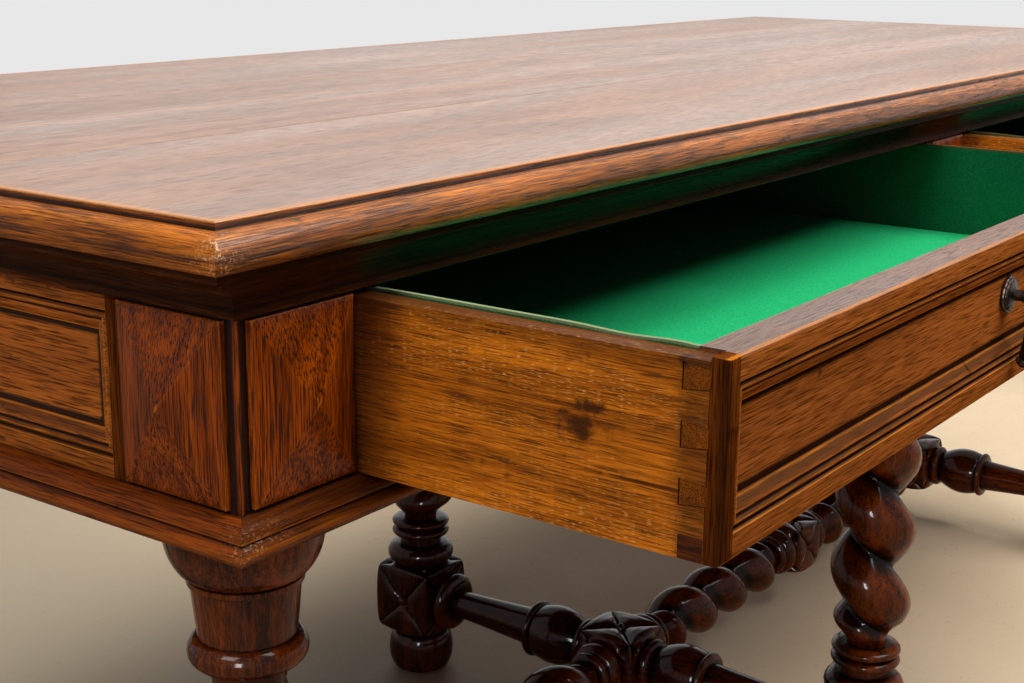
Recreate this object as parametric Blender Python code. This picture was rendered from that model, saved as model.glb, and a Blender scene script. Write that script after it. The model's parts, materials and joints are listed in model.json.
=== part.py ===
# Library table with twisted legs, a moulded apron and two felt-lined drawers.
# Metres, +Z up, the floor at z = 0. The long sides run along X and the drawers open towards -Y.
import math

import bmesh
import bpy
from mathutils import Matrix, Vector

# Carcase
LENGTH = 1.81                # apron, outside, along X
WIDTH = 0.67                 # apron, outside, along Y
HEIGHT = 0.77                # floor to the top surface
BLOCK = 0.0815               # width of the corner and centre blocks
APRON_HEIGHT = 0.0995        # between the base moulding and the cornice
PANEL_THICK = 0.022          # end and back panels
PARTITION_THICK = 0.020
GUIDE_HEIGHT = 0.055
GAP = 0.0003                 # left between pieces that touch

# Top
TOP_THICK = 0.0223
TOP_STEP = 0.004             # small upright step below the flat
EDGE_ROUND = 0.0115          # how far the rounded edge stands out from the step
EDGE_LEDGE = 0.003           # flat ledge at the foot of the step
EDGE_UNDER = 0.006           # rounding under the edge
OVERHANG_LONG = 0.0258       # rounded edge past the apron, front and back
OVERHANG_END = 0.0349        # rounded edge past the apron, ends
TOP_BOARDS = ("front", "middle", "back")

# Mouldings
CORNICE_HEIGHT = 0.0282
CORNICE_FILLET = 0.005       # flat at the top and bottom of the cove
CORNICE_LIP = 0.006          # edge of the top standing out past the cornice
BASE_HEIGHT = 0.020
BASE_REACH = 0.0166
BASE_NOSE = 0.0105           # height of the lower, rounded member
BASE_QUIRK = 0.004           # groove between the two members
MOULD_POINTS = 5             # points on each curve of a moulding

# Pyramid faces on the blocks
CORNER_BEAD = 0.007          # plain strip left at the corner of a block
PYRAMID_MARGIN = 0.002       # above and below a pyramid
PYRAMID_SIDE = 0.001         # beside a pyramid
PYRAMID_EDGE = 0.0035        # height of its upright edge
PYRAMID_RISE = 0.010         # height of its point above that edge
PYRAMID_ROOT = 0.002         # sunk into the block

# Sunk fields on panels and drawer fronts
FIELD_DEPTH = 0.008
FIELD_MOULD = 0.013          # width of the moulding round a field
PANEL_RAIL = 0.0095          # flat above and below the moulding on a panel
PANEL_STILE = 0.011          # flat beside the moulding on a panel
FRONT_BORDER = 0.0125        # flat round the moulding on a drawer front

# Legs, from the floor up
QUARTER_SIDES = 3            # corners in a quarter of every turned section
BEAD_STEPS = 3               # rings on a wide bead
FINE_STEPS = 2               # rings on a narrow bead
BEAD_ARC = 1.35              # angle, in radians, that a bead's side is carried round
FOOT_HEIGHT = 0.050
FOOT_RADIUS = 0.040
FOOT_PAD = 0.028             # radius where the foot meets the floor
ANKLE_HEIGHT = 0.004
ANKLE_RADIUS = 0.031
LEG_BLOCK = 0.0825
LEG_BLOCK_HEIGHT = 0.087
TORUS_HEIGHT = 0.026
TORUS_RADIUS = 0.0405
LOW_WAIST_HEIGHT = 0.009
LOW_WAIST_RADIUS = 0.025
LOW_RING_HEIGHT = 0.012      # each of the two rings
LOW_RING_RADIUS = 0.035
TWIST_CORE = 0.0195          # radius at the bottom of the twist's groove
TWIST_BULGE = 0.0215         # height of the strand above it
TWIST_PITCH = 0.0775
TWIST_STEPS = 8              # sections in one turn
TWIST_FADE = 0.35            # turns over which the strand swells at each end
TWIST_START = math.pi        # turn of the strand at its foot
WAIST_HEIGHT = 0.008
RING_HEIGHT = 0.018
RING_RADIUS = 0.0328
NECK_HEIGHT = 0.030
NECK_RADIUS_LOW = 0.027
NECK_RADIUS_HIGH = 0.0295
CAP_HEIGHT = 0.036
CAP_LEDGE = 0.032
CAP_RADIUS = 0.043
TENON_RADIUS = 0.020
TENON_LENGTH = 0.060

# Stretchers
CROSS_BLOCK = 0.0752
MID_BLOCK = 0.066
STRETCHER_TENON_RADIUS = 0.011
STRETCHER_TENON_LENGTH = 0.018
COLLAR_WIDTH = 0.014
COLLAR_RADIUS = 0.030
COLLAR_NECK = 0.021
VASE_LENGTH = 0.058
VASE_RADIUS = 0.035
VASE_RING_WIDTH = 0.010
VASE_RING_RADIUS = 0.033
CONE_RADIUS_THICK = 0.023
CONE_RADIUS_THIN = 0.016
DISC_WIDTH = 0.020
DISC_RADIUS = 0.035
ROPE_CORE = 0.016
ROPE_BULGE = 0.019
ROPE_PITCH = 0.077
ROPE_STEPS = 8
ROPE_COLLAR_WIDTH = 0.022
ROPE_COLLAR_RADIUS = 0.031
ROPE_BEAD_WIDTH = 0.012
ROPE_BEAD_RADIUS = 0.026

# Drawers
DRAWER_OPEN_LEFT = 0.2176    # how far each drawer stands open
DRAWER_OPEN_RIGHT = 0.120
DRAWER_DEPTH = 0.560         # face of the front to the end of the sides
DRAWER_SIDE_CLEAR = 0.0015
DRAWER_TOP_CLEAR = 0.0015
DRAWER_FLOOR_CLEAR = 0.0005
FRONT_THICK = 0.022
SIDE_THICK = 0.014
SIDE_DROP = 0.002            # top of the sides below the top of the front
BACK_THICK = 0.012
BACK_DROP = 0.010
BOTTOM_THICK = 0.007
BOTTOM_LIFT = 0.010          # underside of the bottom above the sides' lower edge
GROOVE = 0.005
LAP = 0.008                  # front's thickness left in front of the dovetails
PINS = 3
PIN_NARROW = 0.009
PIN_WIDE = 0.0125
PIN_LOW = 0.026              # wood of the side below the lowest pin
PIN_HIGH = 0.0025            # wood of the side above the highest pin
PIN_ROOT = 0.002             # pin sunk into the front
FELT_THICK = 0.0012
FELT_DROP = 0.006            # lining's edge below the top of the sides
OVERCUT = 0.001              # cutters run past what they cut

# Drop pulls
PULL_HEIGHT = 0.056          # pin above the drawer's lower edge
ROSETTE_RADIUS = 0.012
ROSETTE_THICK = 0.003
ROSETTE_DOME = 0.002
ROSETTE_BOSS = 0.007         # radius of the raised middle
POST_RADIUS = 0.0035
POST_LENGTH = 0.0135         # rosette's face to the pin
TONGUE_THICK = 0.0036
TONGUE_REACH = 0.003         # tongue past the pin
PIN_RADIUS = 0.0012
PIN_CLEAR = 0.0001
KNOB_RADIUS = 0.0056         # round head of the drop
KNOB_FLAT = 0.0022           # radius of the flat on the head
KNOB_LOW = 0.9               # angle, in radians, that the head is carried below its middle
KNOB_HIGH = 0.6              # and above it
SLOT_CLEAR = 0.0004          # beside the tongue
SLOT_DEPTH = 0.005           # slot's floor below the pin
DROP_LENGTH = 0.045          # pin to the lower end
DROP_NECK = 0.0034
DROP_BELL = 0.0064           # radius of the bell just above the lip
DROP_RADIUS = 0.0085         # radius of the lip
DROP_BASE = 0.006            # radius of the lower end
DROP_LIP = 0.006             # height of the lip at the lower end
DROP_ROUND = 0.002           # height of the rounding under the lip

# Levels and half sizes that follow
SIDES = 4 * QUARTER_SIDES
SLAB_LOW = HEIGHT - TOP_THICK
CORNICE_LOW = SLAB_LOW - CORNICE_HEIGHT
APRON_LOW = CORNICE_LOW - APRON_HEIGHT
BASE_LOW = APRON_LOW - BASE_HEIGHT
HALF_X = LENGTH / 2
HALF_Y = WIDTH / 2
LEG_X = HALF_X - BLOCK / 2
LEG_Y = HALF_Y - BLOCK / 2
LEG_BLOCK_LOW = FOOT_HEIGHT + ANKLE_HEIGHT
STRETCHER_Z = LEG_BLOCK_LOW + LEG_BLOCK_HEIGHT / 2
BAY_X = HALF_X / 2 - BLOCK / 4
DRAWER_WIDTH = HALF_X - 1.5 * BLOCK - 2 * DRAWER_SIDE_CLEAR
DRAWER_HEIGHT = APRON_HEIGHT - DRAWER_FLOOR_CLEAR - DRAWER_TOP_CLEAR
SIDE_HEIGHT = DRAWER_HEIGHT - SIDE_DROP
GROOVE_TOP = BOTTOM_LIFT + BOTTOM_THICK + 2 * GAP
PULL_Y = FIELD_DEPTH - ROSETTE_THICK - ROSETTE_DOME - POST_LENGTH
FRONT_REACH = max(DRAWER_OPEN_LEFT, DRAWER_OPEN_RIGHT) + DROP_RADIUS - PULL_Y
CENTRE_Y = (FRONT_REACH - OVERHANG_LONG) / 2
FIRST_CORNER = -math.pi / 4

# Colour, roughness and metallic value of each finish
FINISHES = {
    "top_oak": ((0.22, 0.105, 0.06), 0.38, 0.0),
    "apron_oak": ((0.12, 0.042, 0.018), 0.36, 0.0),
    "turned_oak": ((0.045, 0.014, 0.007), 0.25, 0.0),
    "drawer_oak": ((0.30, 0.12, 0.022), 0.5, 0.0),
    "inner_oak": ((0.20, 0.09, 0.035), 0.6, 0.0),
    "felt": ((0.008, 0.32, 0.10), 0.95, 0.0),
    "bronze": ((0.05, 0.035, 0.025), 0.35, 0.9),
}


def clear_scene():
    for item in list(bpy.data.objects):
        bpy.data.objects.remove(item, do_unlink=True)


def new_collection(name):
    collection = bpy.data.collections.new(name)
    bpy.context.scene.collection.children.link(collection)
    return collection


def new_finish(name):
    colour, roughness, metallic = FINISHES[name]
    material = bpy.data.materials.new(name)
    material.use_nodes = True
    shader = material.node_tree.nodes["Principled BSDF"]
    shader.inputs["Base Color"].default_value = (*colour, 1.0)
    shader.inputs["Roughness"].default_value = roughness
    shader.inputs["Metallic"].default_value = metallic
    material.diffuse_color = (*colour, 1.0)
    return material


clear_scene()
PARTS = new_collection("library_table")
CUTTERS = new_collection("cutters")
MATERIALS = {name: new_finish(name) for name in FINISHES}


def new_holder(name, location, parent=None):
    holder = bpy.data.objects.new(name, None)
    holder.location = location
    holder.parent = parent
    PARTS.objects.link(holder)
    return holder


def new_object(name, shape, holder, place):
    mesh = bpy.data.meshes.new(name)
    bmesh.ops.recalc_face_normals(shape, faces=shape.faces)
    shape.to_mesh(mesh)
    shape.free()
    item = bpy.data.objects.new(name, mesh)
    item.parent = holder
    item.matrix_local = place
    return item


def add_part(name, shape, finish, holder, place=Matrix(), smooth=False):
    part = new_object(name, shape, holder, place)
    part.data.materials.append(MATERIALS[finish])
    if smooth:
        part.data.shade_smooth()
        part.data.set_sharp_from_angle(angle=math.radians(35))
    PARTS.objects.link(part)
    return part


def apply_tool(part, operation, shape, place=Matrix()):
    tool = new_object(f"{part.name}_tool_{len(part.modifiers)}", shape, part.parent, place)
    tool.hide_render = True
    tool.display_type = "WIRE"
    CUTTERS.objects.link(tool)
    step = part.modifiers.new(operation.lower(), "BOOLEAN")
    step.operation = operation
    step.solver = "EXACT"
    step.object = tool


def box(low, high):
    shape = bmesh.new()
    size = [b - a for a, b in zip(low, high)]
    middle = [(a + b) / 2 for a, b in zip(low, high)]
    bmesh.ops.create_cube(shape, size=1.0, matrix=Matrix.Translation(middle) @ Matrix.Diagonal((*size, 1)))
    return shape


def rod(radius, length):
    shape = bmesh.new()
    bmesh.ops.create_cone(shape, cap_ends=True, segments=SIDES, radius1=radius, radius2=radius, depth=length)
    return shape


# A closed skin over a row of sections with the same number of corners. A section of one corner is a point.
# lean says which way the quads are split, so that the edges follow a twist.
def loft(sections, lean=1):
    shape = bmesh.new()
    add_loft(shape, sections, lean)
    return shape


def add_loft(shape, sections, lean=1):
    rows = [[shape.verts.new(corner) for corner in section] for section in sections]
    for low, high in zip(rows, rows[1:]):
        count = len(low)
        for k in range(count):
            after = (k + 1) % count
            if len(high) == 1:
                shape.faces.new((low[k], low[after], high[0]))
            elif lean > 0:
                shape.faces.new((low[k], low[after], high[k]))
                shape.faces.new((low[after], high[after], high[k]))
            else:
                shape.faces.new((low[k], low[after], high[after]))
                shape.faces.new((low[k], high[after], high[k]))
    shape.faces.new(list(reversed(rows[0])))
    if len(rows[-1]) > 1:
        shape.faces.new(rows[-1])


def plan_ring(half_x, half_y, z):
    return [(-half_x, -half_y, z), (half_x, -half_y, z), (half_x, half_y, z), (-half_x, half_y, z)]


def face_ring(left, right, low, high, y):
    return [(left, y, low), (right, y, low), (right, y, high), (left, y, high)]


def circle_ring(radius, z, turn=FIRST_CORNER):
    angles = [turn + 2 * math.pi * k / SIDES for k in range(SIDES)]
    return [(radius * math.cos(a), radius * math.sin(a), z) for a in angles]


# Corners spread along a square, counted on from the corner nearest to the turn of the section before it.
def square_ring(width, z, turn=FIRST_CORNER):
    half = width / 2
    corners = []
    for side in range(4):
        spin = Matrix.Rotation(side * math.pi / 2, 3, "Z")
        for k in range(QUARTER_SIDES):
            corners.append(tuple(spin @ Vector((half, width * k / QUARTER_SIDES - half, z))))
    first = round((turn - FIRST_CORNER) / (2 * math.pi / SIDES)) % SIDES
    return corners[first:] + corners[:first]


# Half-round swelling from one height to another: radius and height of each of its rings.
def bead(low, high, radius_in, radius_out, steps=BEAD_STEPS):
    rings = []
    for k in range(steps + 1):
        swell = math.cos(BEAD_ARC * (2 * k / steps - 1))
        rings.append((radius_in + (radius_out - radius_in) * swell, low + (high - low) * k / steps))
    return rings


def turned(profile, turn=FIRST_CORNER):
    return [circle_ring(radius, z, turn) for radius, z in profile]


# One strand wound round a core: the section is wide on one side and narrow on the other, and turns as it climbs.
def twist_sections(low, high, core, bulge, pitch, steps, hand):
    turns = (high - low) / pitch
    count = max(2, math.ceil(turns * steps))
    sections = []
    for k in range(count + 1):
        along = turns * k / count
        swell = min(1.0, min(along, turns - along) / TWIST_FADE)
        swell = swell * swell * (3 - 2 * swell)
        turn = FIRST_CORNER + hand * 2 * math.pi * along
        section = []
        for side in range(SIDES):
            angle = 2 * math.pi * side / SIDES
            radius = core + bulge * swell * abs(math.cos((angle - TWIST_START) / 2))
            section.append((radius * math.cos(turn + angle), radius * math.sin(turn + angle),
                            low + (high - low) * k / count))
        sections.append(section)
    return sections, FIRST_CORNER + hand * 2 * math.pi * turns


def arc(count):
    return [math.pi / 2 * k / (count - 1) for k in range(count)]


# Outline of the top from its underside to its flat: inset from the outermost line, and height.
def top_outline():
    round_low = SLAB_LOW + EDGE_UNDER
    round_high = HEIGHT - TOP_STEP
    under = [(EDGE_UNDER * (1 - math.sin(a)) / 2, round_low - EDGE_UNDER * math.cos(a)) for a in arc(3)]
    over = [(EDGE_ROUND * (1 - math.cos(a)), round_low + (round_high - round_low) * math.sin(a))
            for a in arc(MOULD_POINTS)]
    inset = EDGE_ROUND + EDGE_LEDGE
    return under + over[1:] + [(inset, round_high), (inset, HEIGHT)]


def build_top(holder):
    half_x = HALF_X + OVERHANG_END
    half_y = HALF_Y + OVERHANG_LONG
    board = 2 * half_y / len(TOP_BOARDS)
    for k, name in enumerate(TOP_BOARDS):
        rings = [plan_ring(half_x - inset, half_y - inset, z) for inset, z in top_outline()]
        part = add_part(f"top_board_{name}", loft(rings), "top_oak", holder)
        low = -half_y + k * board + GAP / 2
        high = low + board - GAP
        if k == 0:
            low -= OVERCUT
        if k == len(TOP_BOARDS) - 1:
            high += OVERCUT
        reach = half_x + OVERCUT
        keep = box((-reach, low, SLAB_LOW - OVERCUT), (reach, high, HEIGHT + OVERCUT))
        apply_tool(part, "INTERSECT", keep)


# Outlines of the mouldings: how far each corner stands out from the apron, and its height.
def cornice_outline(overhang):
    reach = overhang - CORNICE_LIP
    low = CORNICE_LOW + CORNICE_FILLET
    high = SLAB_LOW - GAP - CORNICE_FILLET
    hollow = [(CORNICE_FILLET + (reach - CORNICE_FILLET) * (1 - math.cos(a)), low + (high - low) * math.sin(a))
              for a in arc(MOULD_POINTS)]
    top = SLAB_LOW - GAP
    return [(0, CORNICE_LOW), (CORNICE_FILLET, CORNICE_LOW)] + hollow + [(reach, top), (0, top)]


def base_outline():
    nose_high = BASE_LOW + BASE_NOSE
    nose = [(BASE_REACH - BASE_QUIRK * (1 - math.sin(2 * a)), BASE_LOW + BASE_NOSE * 2 * a / math.pi)
            for a in arc(MOULD_POINTS)]
    shelf = BASE_REACH - BASE_QUIRK
    slope = [(shelf * math.cos(a), nose_high + (APRON_LOW - nose_high) * math.sin(a)) for a in arc(MOULD_POINTS)]
    return [(0, BASE_LOW)] + nose + slope[1:]


def build_mouldings(name, outline_end, outline_long, holder):
    def corner(side_x, side_y, trim_x, trim_y):
        section = []
        for (out_x, z), (out_y, _) in zip(outline_end, outline_long):
            x = side_x * (HALF_X + GAP + out_x - trim_x)
            section.append((x, side_y * (HALF_Y + GAP + out_y - trim_y), z))
        return section

    for side, label in ((-1, "front"), (1, "back")):
        ends = [corner(end, side, GAP, 0) for end in (-1, 1)]
        add_part(f"{name}_{label}", loft(ends), "apron_oak", holder)
    for side, label in ((-1, "left"), (1, "right")):
        ends = [corner(side, end, 0, GAP) for end in (-1, 1)]
        add_part(f"{name}_{label}", loft(ends), "apron_oak", holder)


# Raised pyramid on a face that looks along -Y before it is turned.
def pyramid(width):
    half = width / 2
    low = APRON_LOW + PYRAMID_MARGIN
    high = CORNICE_LOW - PYRAMID_MARGIN
    root = face_ring(-half, half, low, high, PYRAMID_ROOT)
    edge = face_ring(-half, half, low, high, -PYRAMID_EDGE)
    point = [(0, -PYRAMID_EDGE - PYRAMID_RISE, (low + high) / 2)]
    return loft([root, edge, point])


def facing(x, y, degrees):
    return Matrix.Translation((x, y, 0)) @ Matrix.Rotation(math.radians(degrees), 4, "Z")


def bore_for_leg(part, x, y):
    depth = TENON_LENGTH + GAP + OVERCUT
    place = Matrix.Translation((x, y, BASE_LOW - OVERCUT + depth / 2))
    apply_tool(part, "DIFFERENCE", rod((TENON_RADIUS + GAP) / math.cos(math.pi / SIDES), depth), place)


def build_blocks(holder):
    width = BLOCK - CORNER_BEAD - PYRAMID_SIDE
    inset = CORNER_BEAD + width / 2
    top = SLAB_LOW - GAP
    for side_y, row in ((-1, "front"), (1, "back")):
        for side_x, column in ((-1, "left"), (1, "right")):
            x = sorted((side_x * HALF_X, side_x * (HALF_X - BLOCK)))
            y = sorted((side_y * HALF_Y, side_y * (HALF_Y - BLOCK)))
            shape = box((x[0], y[0], BASE_LOW), (x[1], y[1], top))
            part = add_part(f"corner_block_{row}_{column}", shape, "apron_oak", holder)
            apply_tool(part, "UNION", pyramid(width), facing(side_x * (HALF_X - inset), side_y * HALF_Y,
                                                             0 if side_y < 0 else 180))
            apply_tool(part, "UNION", pyramid(width), facing(side_x * HALF_X, side_y * (HALF_Y - inset),
                                                             90 * side_x))
            bore_for_leg(part, side_x * LEG_X, side_y * LEG_Y)
        y = sorted((side_y * HALF_Y, side_y * (HALF_Y - BLOCK)))
        shape = box((-BLOCK / 2, y[0], BASE_LOW), (BLOCK / 2, y[1], top))
        part = add_part(f"centre_block_{row}", shape, "apron_oak", holder)
        turn = 0 if side_y < 0 else 180
        apply_tool(part, "UNION", pyramid(width), facing(0, side_y * HALF_Y, turn))
        bore_for_leg(part, 0, side_y * LEG_Y)


# Board with a sunk field inside a mitred moulding, on the face that looks along -Y.
# The margins are the flats left at its sides, below and above.
def field_board(width, low, high, thick, side, below, above):
    half = width / 2
    rings = [face_ring(-half, half, low, high, thick), face_ring(-half, half, low, high, 0)]
    quirk = FIELD_DEPTH / 4
    wave = [(t, quirk + (FIELD_DEPTH - quirk) * (1 - math.cos(math.pi * t)) / 2)
            for t in (k / (MOULD_POINTS - 1) for k in range(MOULD_POINTS))]
    for share, depth in [(0, 0)] + wave:
        inset = FIELD_MOULD * share + quirk * min(1, depth / quirk)
        rings.append(face_ring(inset + side - half, half - side - inset, low + below + inset,
                               high - above - inset, depth))
    return loft(rings)


def build_panels(holder):
    low = BASE_LOW
    high = SLAB_LOW - GAP
    below = BASE_HEIGHT + PANEL_RAIL
    above = CORNICE_HEIGHT - GAP + PANEL_RAIL
    end_width = WIDTH - 2 * BLOCK - 2 * GAP
    for side, label in ((-1, "left"), (1, "right")):
        shape = field_board(end_width, low, high, PANEL_THICK, PANEL_STILE, below, above)
        add_part(f"end_panel_{label}", shape, "apron_oak", holder, facing(side * HALF_X, 0, 90 * side))
    back_width = HALF_X - 1.5 * BLOCK - 2 * GAP
    for side, label in ((-1, "left"), (1, "right")):
        shape = field_board(back_width, low, high, PANEL_THICK, PANEL_STILE, below, above)
        add_part(f"back_panel_{label}", shape, "apron_oak", holder, facing(side * BAY_X, HALF_Y, 180))


def build_bays(holder):
    inner_y = HALF_Y - BLOCK - GAP
    half = PARTITION_THICK / 2
    wall = box((-half, -inner_y, BASE_LOW), (half, inner_y, SLAB_LOW - GAP))
    add_part("partition", wall, "inner_oak", holder)
    guide_top = BASE_LOW + GUIDE_HEIGHT
    for side, label in ((-1, "left"), (1, "right")):
        x = sorted((side * (BLOCK / 2 + GAP), side * (HALF_X - BLOCK - GAP)))
        board = box((x[0], -HALF_Y, BASE_LOW), (x[1], HALF_Y - PANEL_THICK - GAP, APRON_LOW))
        add_part(f"dust_board_{label}", board, "inner_oak", holder)
        spans = {
            "outer": sorted((side * (HALF_X - BLOCK), side * (HALF_X - PANEL_THICK - GAP))),
            "inner": sorted((side * (half + GAP), side * BLOCK / 2)),
        }
        for place, (start, end) in spans.items():
            rail = box((start, -inner_y, BASE_LOW), (end, inner_y, guide_top))
            add_part(f"drawer_guide_{label}_{place}", rail, "inner_oak", holder)


def leg_sections(hand):
    block_high = LEG_BLOCK_LOW + LEG_BLOCK_HEIGHT
    torus_high = block_high + TORUS_HEIGHT
    ring_low = torus_high + LOW_WAIST_HEIGHT
    ring_mid = ring_low + LOW_RING_HEIGHT
    twist_low = ring_mid + LOW_RING_HEIGHT
    cap_high = BASE_LOW - GAP
    cap_low = cap_high - CAP_HEIGHT
    neck_low = cap_low - NECK_HEIGHT
    bead_low = neck_low - RING_HEIGHT
    twist_high = bead_low - WAIST_HEIGHT
    sections = turned([(FOOT_PAD, 0)] + bead(0, FOOT_HEIGHT, ANKLE_RADIUS, FOOT_RADIUS)[1:])
    sections += turned([(ANKLE_RADIUS, LEG_BLOCK_LOW)])
    sections += [square_ring(LEG_BLOCK, LEG_BLOCK_LOW), square_ring(LEG_BLOCK, block_high)]
    sections += turned(bead(block_high, torus_high, LOW_WAIST_RADIUS, TORUS_RADIUS))
    sections += turned(bead(ring_low, ring_mid, LOW_WAIST_RADIUS, LOW_RING_RADIUS, FINE_STEPS))
    sections += turned(bead(ring_mid, twist_low, LOW_WAIST_RADIUS, LOW_RING_RADIUS, FINE_STEPS)[1:])
    twist, turn = twist_sections(twist_low, twist_high, TWIST_CORE, TWIST_BULGE, TWIST_PITCH, TWIST_STEPS, hand)
    sections += twist[1:]
    sections += turned(bead(bead_low, neck_low, TWIST_CORE, RING_RADIUS), turn)
    sections += turned([(NECK_RADIUS_LOW, neck_low), (NECK_RADIUS_HIGH, cap_low)], turn)
    cap = [(CAP_LEDGE + (CAP_RADIUS - CAP_LEDGE) * math.sin(a), cap_low + CAP_HEIGHT * (1 - math.cos(a)))
           for a in arc(3)]
    sections += turned(cap, turn)
    sections += turned([(TENON_RADIUS, cap_high), (TENON_RADIUS, cap_high + TENON_LENGTH)], turn)
    return sections


def bore_for_stretcher(part, x, y, axis, reach):
    depth = 2 * (STRETCHER_TENON_LENGTH + GAP)
    tilt = Matrix.Rotation(math.pi / 2, 4, "X" if axis == "Y" else "Y")
    place = Matrix.Translation((x, y, STRETCHER_Z)) @ Matrix.Translation(reach) @ tilt
    apply_tool(part, "DIFFERENCE", rod((STRETCHER_TENON_RADIUS + GAP) / math.cos(math.pi / SIDES), depth), place)


COLUMNS = ((-LEG_X, "left"), (0.0, "centre"), (LEG_X, "right"))


def build_legs(holder):
    for side, row in ((-1, "front"), (1, "back")):
        for x, column in COLUMNS:
            hand = side
            shape = loft(leg_sections(hand), lean=hand)
            place = Matrix.Translation((x, side * LEG_Y, 0))
            part = add_part(f"leg_{row}_{column}", shape, "turned_oak", holder, place, smooth=True)
            bore_for_stretcher(part, x, side * LEG_Y, "Y", (0, -side * LEG_BLOCK / 2, 0))


# Turned arm from a crossing block (at height low) to a leg (at height high), for a rail drawn along Z.
def arm_profile(low, high):
    vase_low = low + COLLAR_WIDTH
    vase_high = vase_low + VASE_LENGTH
    ring_high = vase_high + VASE_RING_WIDTH
    disc_low = high - DISC_WIDTH
    profile = bead(low, vase_low, COLLAR_NECK, COLLAR_RADIUS, FINE_STEPS)
    profile += bead(vase_low, vase_high, COLLAR_NECK, VASE_RADIUS)[1:]
    profile += bead(vase_high, ring_high, CONE_RADIUS_THICK, VASE_RING_RADIUS, FINE_STEPS)[1:]
    profile += [(CONE_RADIUS_THIN, disc_low)]
    profile += bead(disc_low, high, COLLAR_NECK, DISC_RADIUS)
    return profile


def with_tenons(half, sections, turn):
    tip = half + STRETCHER_TENON_LENGTH
    start = turned([(STRETCHER_TENON_RADIUS, -tip), (STRETCHER_TENON_RADIUS, -half)])
    end = turned([(STRETCHER_TENON_RADIUS, half), (STRETCHER_TENON_RADIUS, tip)], turn)
    return start + sections + end


def build_stretchers(holder):
    half = LEG_Y - LEG_BLOCK / 2 - GAP
    block = CROSS_BLOCK / 2
    arm = arm_profile(block, half)
    sections = turned([(radius, -z) for radius, z in reversed(arm)])
    sections += [square_ring(CROSS_BLOCK, -block), square_ring(CROSS_BLOCK, block)]
    sections += turned(arm)
    sections = with_tenons(half, sections, FIRST_CORNER)
    for x, column in COLUMNS:
        place = Matrix.Translation((x, 0, STRETCHER_Z)) @ Matrix.Rotation(-math.pi / 2, 4, "X")
        part = add_part(f"cross_stretcher_{column}", loft(sections), "turned_oak", holder, place, smooth=True)
        for side in (-1, 1):
            if abs(x + side * LEG_X) <= LEG_X:
                bore_for_stretcher(part, x, 0, "X", (side * block, 0, 0))
    half = LEG_X / 2 - block - GAP
    for side, column in ((-1, "left"), (1, "right")):
        shape = rope_rail(half)
        place = Matrix.Translation((side * LEG_X / 2, 0, STRETCHER_Z)) @ Matrix.Rotation(math.pi / 2, 4, "Y")
        add_part(f"long_stretcher_{column}", shape, "turned_oak", holder, place, smooth=True)


# Rail of two twists with collars, on either side of a square block.
def rope_rail(half):
    block = MID_BLOCK / 2
    sections = []
    turn = FIRST_CORNER
    for low, high in ((-half, -block), (block, half)):
        outer, inner = (ROPE_COLLAR_WIDTH, ROPE_BEAD_WIDTH)
        low_ring = bead(low, low + outer, ROPE_CORE, ROPE_COLLAR_RADIUS)
        low_ring += bead(low + outer, low + outer + inner, ROPE_CORE, ROPE_BEAD_RADIUS, FINE_STEPS)[1:]
        sections += turned(low_ring, turn)
        rope, end = twist_sections(low + outer + inner, high - outer - inner, ROPE_CORE, ROPE_BULGE,
                                   ROPE_PITCH, ROPE_STEPS, 1)
        spin = Matrix.Rotation(turn - FIRST_CORNER, 3, "Z")
        sections += [[tuple(spin @ Vector(corner)) for corner in ring] for ring in rope[1:]]
        turn += end - FIRST_CORNER
        high_ring = bead(high - outer - inner, high - outer, ROPE_CORE, ROPE_BEAD_RADIUS, FINE_STEPS)[1:]
        high_ring += bead(high - outer, high, ROPE_CORE, ROPE_COLLAR_RADIUS)[1:]
        sections += turned(high_ring, turn)
        if high < 0:
            sections += [square_ring(MID_BLOCK, -block, turn), square_ring(MID_BLOCK, block, turn)]
    return loft(with_tenons(half, sections, turn))


# Dovetail pins at one end of a drawer front: narrow in front, wide behind.
def dovetail_pins(end_x, into, spare):
    shape = bmesh.new()
    first = PIN_LOW + PIN_WIDE / 2
    last = SIDE_HEIGHT - PIN_HIGH - PIN_WIDE / 2
    pitch = (last - first) / max(1, PINS - 1)
    x_out = end_x + into * (GAP if spare == 0 else -OVERCUT)
    x_in = end_x + into * (SIDE_THICK + PIN_ROOT)
    y_back = FRONT_THICK - GAP + 2 * spare
    for k in range(PINS):
        z = first + pitch * k
        rings = []
        for x in (x_out, x_in):
            front = PIN_NARROW / 2 + spare
            back = PIN_WIDE / 2 + spare
            y_front = LAP - PIN_ROOT
            rings.append([(x, y_front, z - front), (x, y_back, z - back), (x, y_back, z + back),
                          (x, y_front, z + front)])
        add_loft(shape, rings)
    return shape


def build_drawer_front(name, holder):
    half = DRAWER_WIDTH / 2
    shape = field_board(DRAWER_WIDTH, 0, DRAWER_HEIGHT, FRONT_THICK, FRONT_BORDER, FRONT_BORDER, FRONT_BORDER)
    part = add_part(f"{name}_front", shape, "apron_oak", holder)
    inner = half - SIDE_THICK - GAP
    for side in (-1, 1):
        x = sorted((side * inner, side * (half + OVERCUT)))
        rebate = box((x[0], LAP, -OVERCUT), (x[1], FRONT_THICK + OVERCUT, DRAWER_HEIGHT + OVERCUT))
        apply_tool(part, "DIFFERENCE", rebate)
        apply_tool(part, "UNION", dovetail_pins(side * half, -side, 0))
    reach = half - SIDE_THICK + GROOVE
    slot = box((-reach, FRONT_THICK - GROOVE, BOTTOM_LIFT), (reach, FRONT_THICK + OVERCUT, GROOVE_TOP))
    apply_tool(part, "DIFFERENCE", slot)


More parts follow.
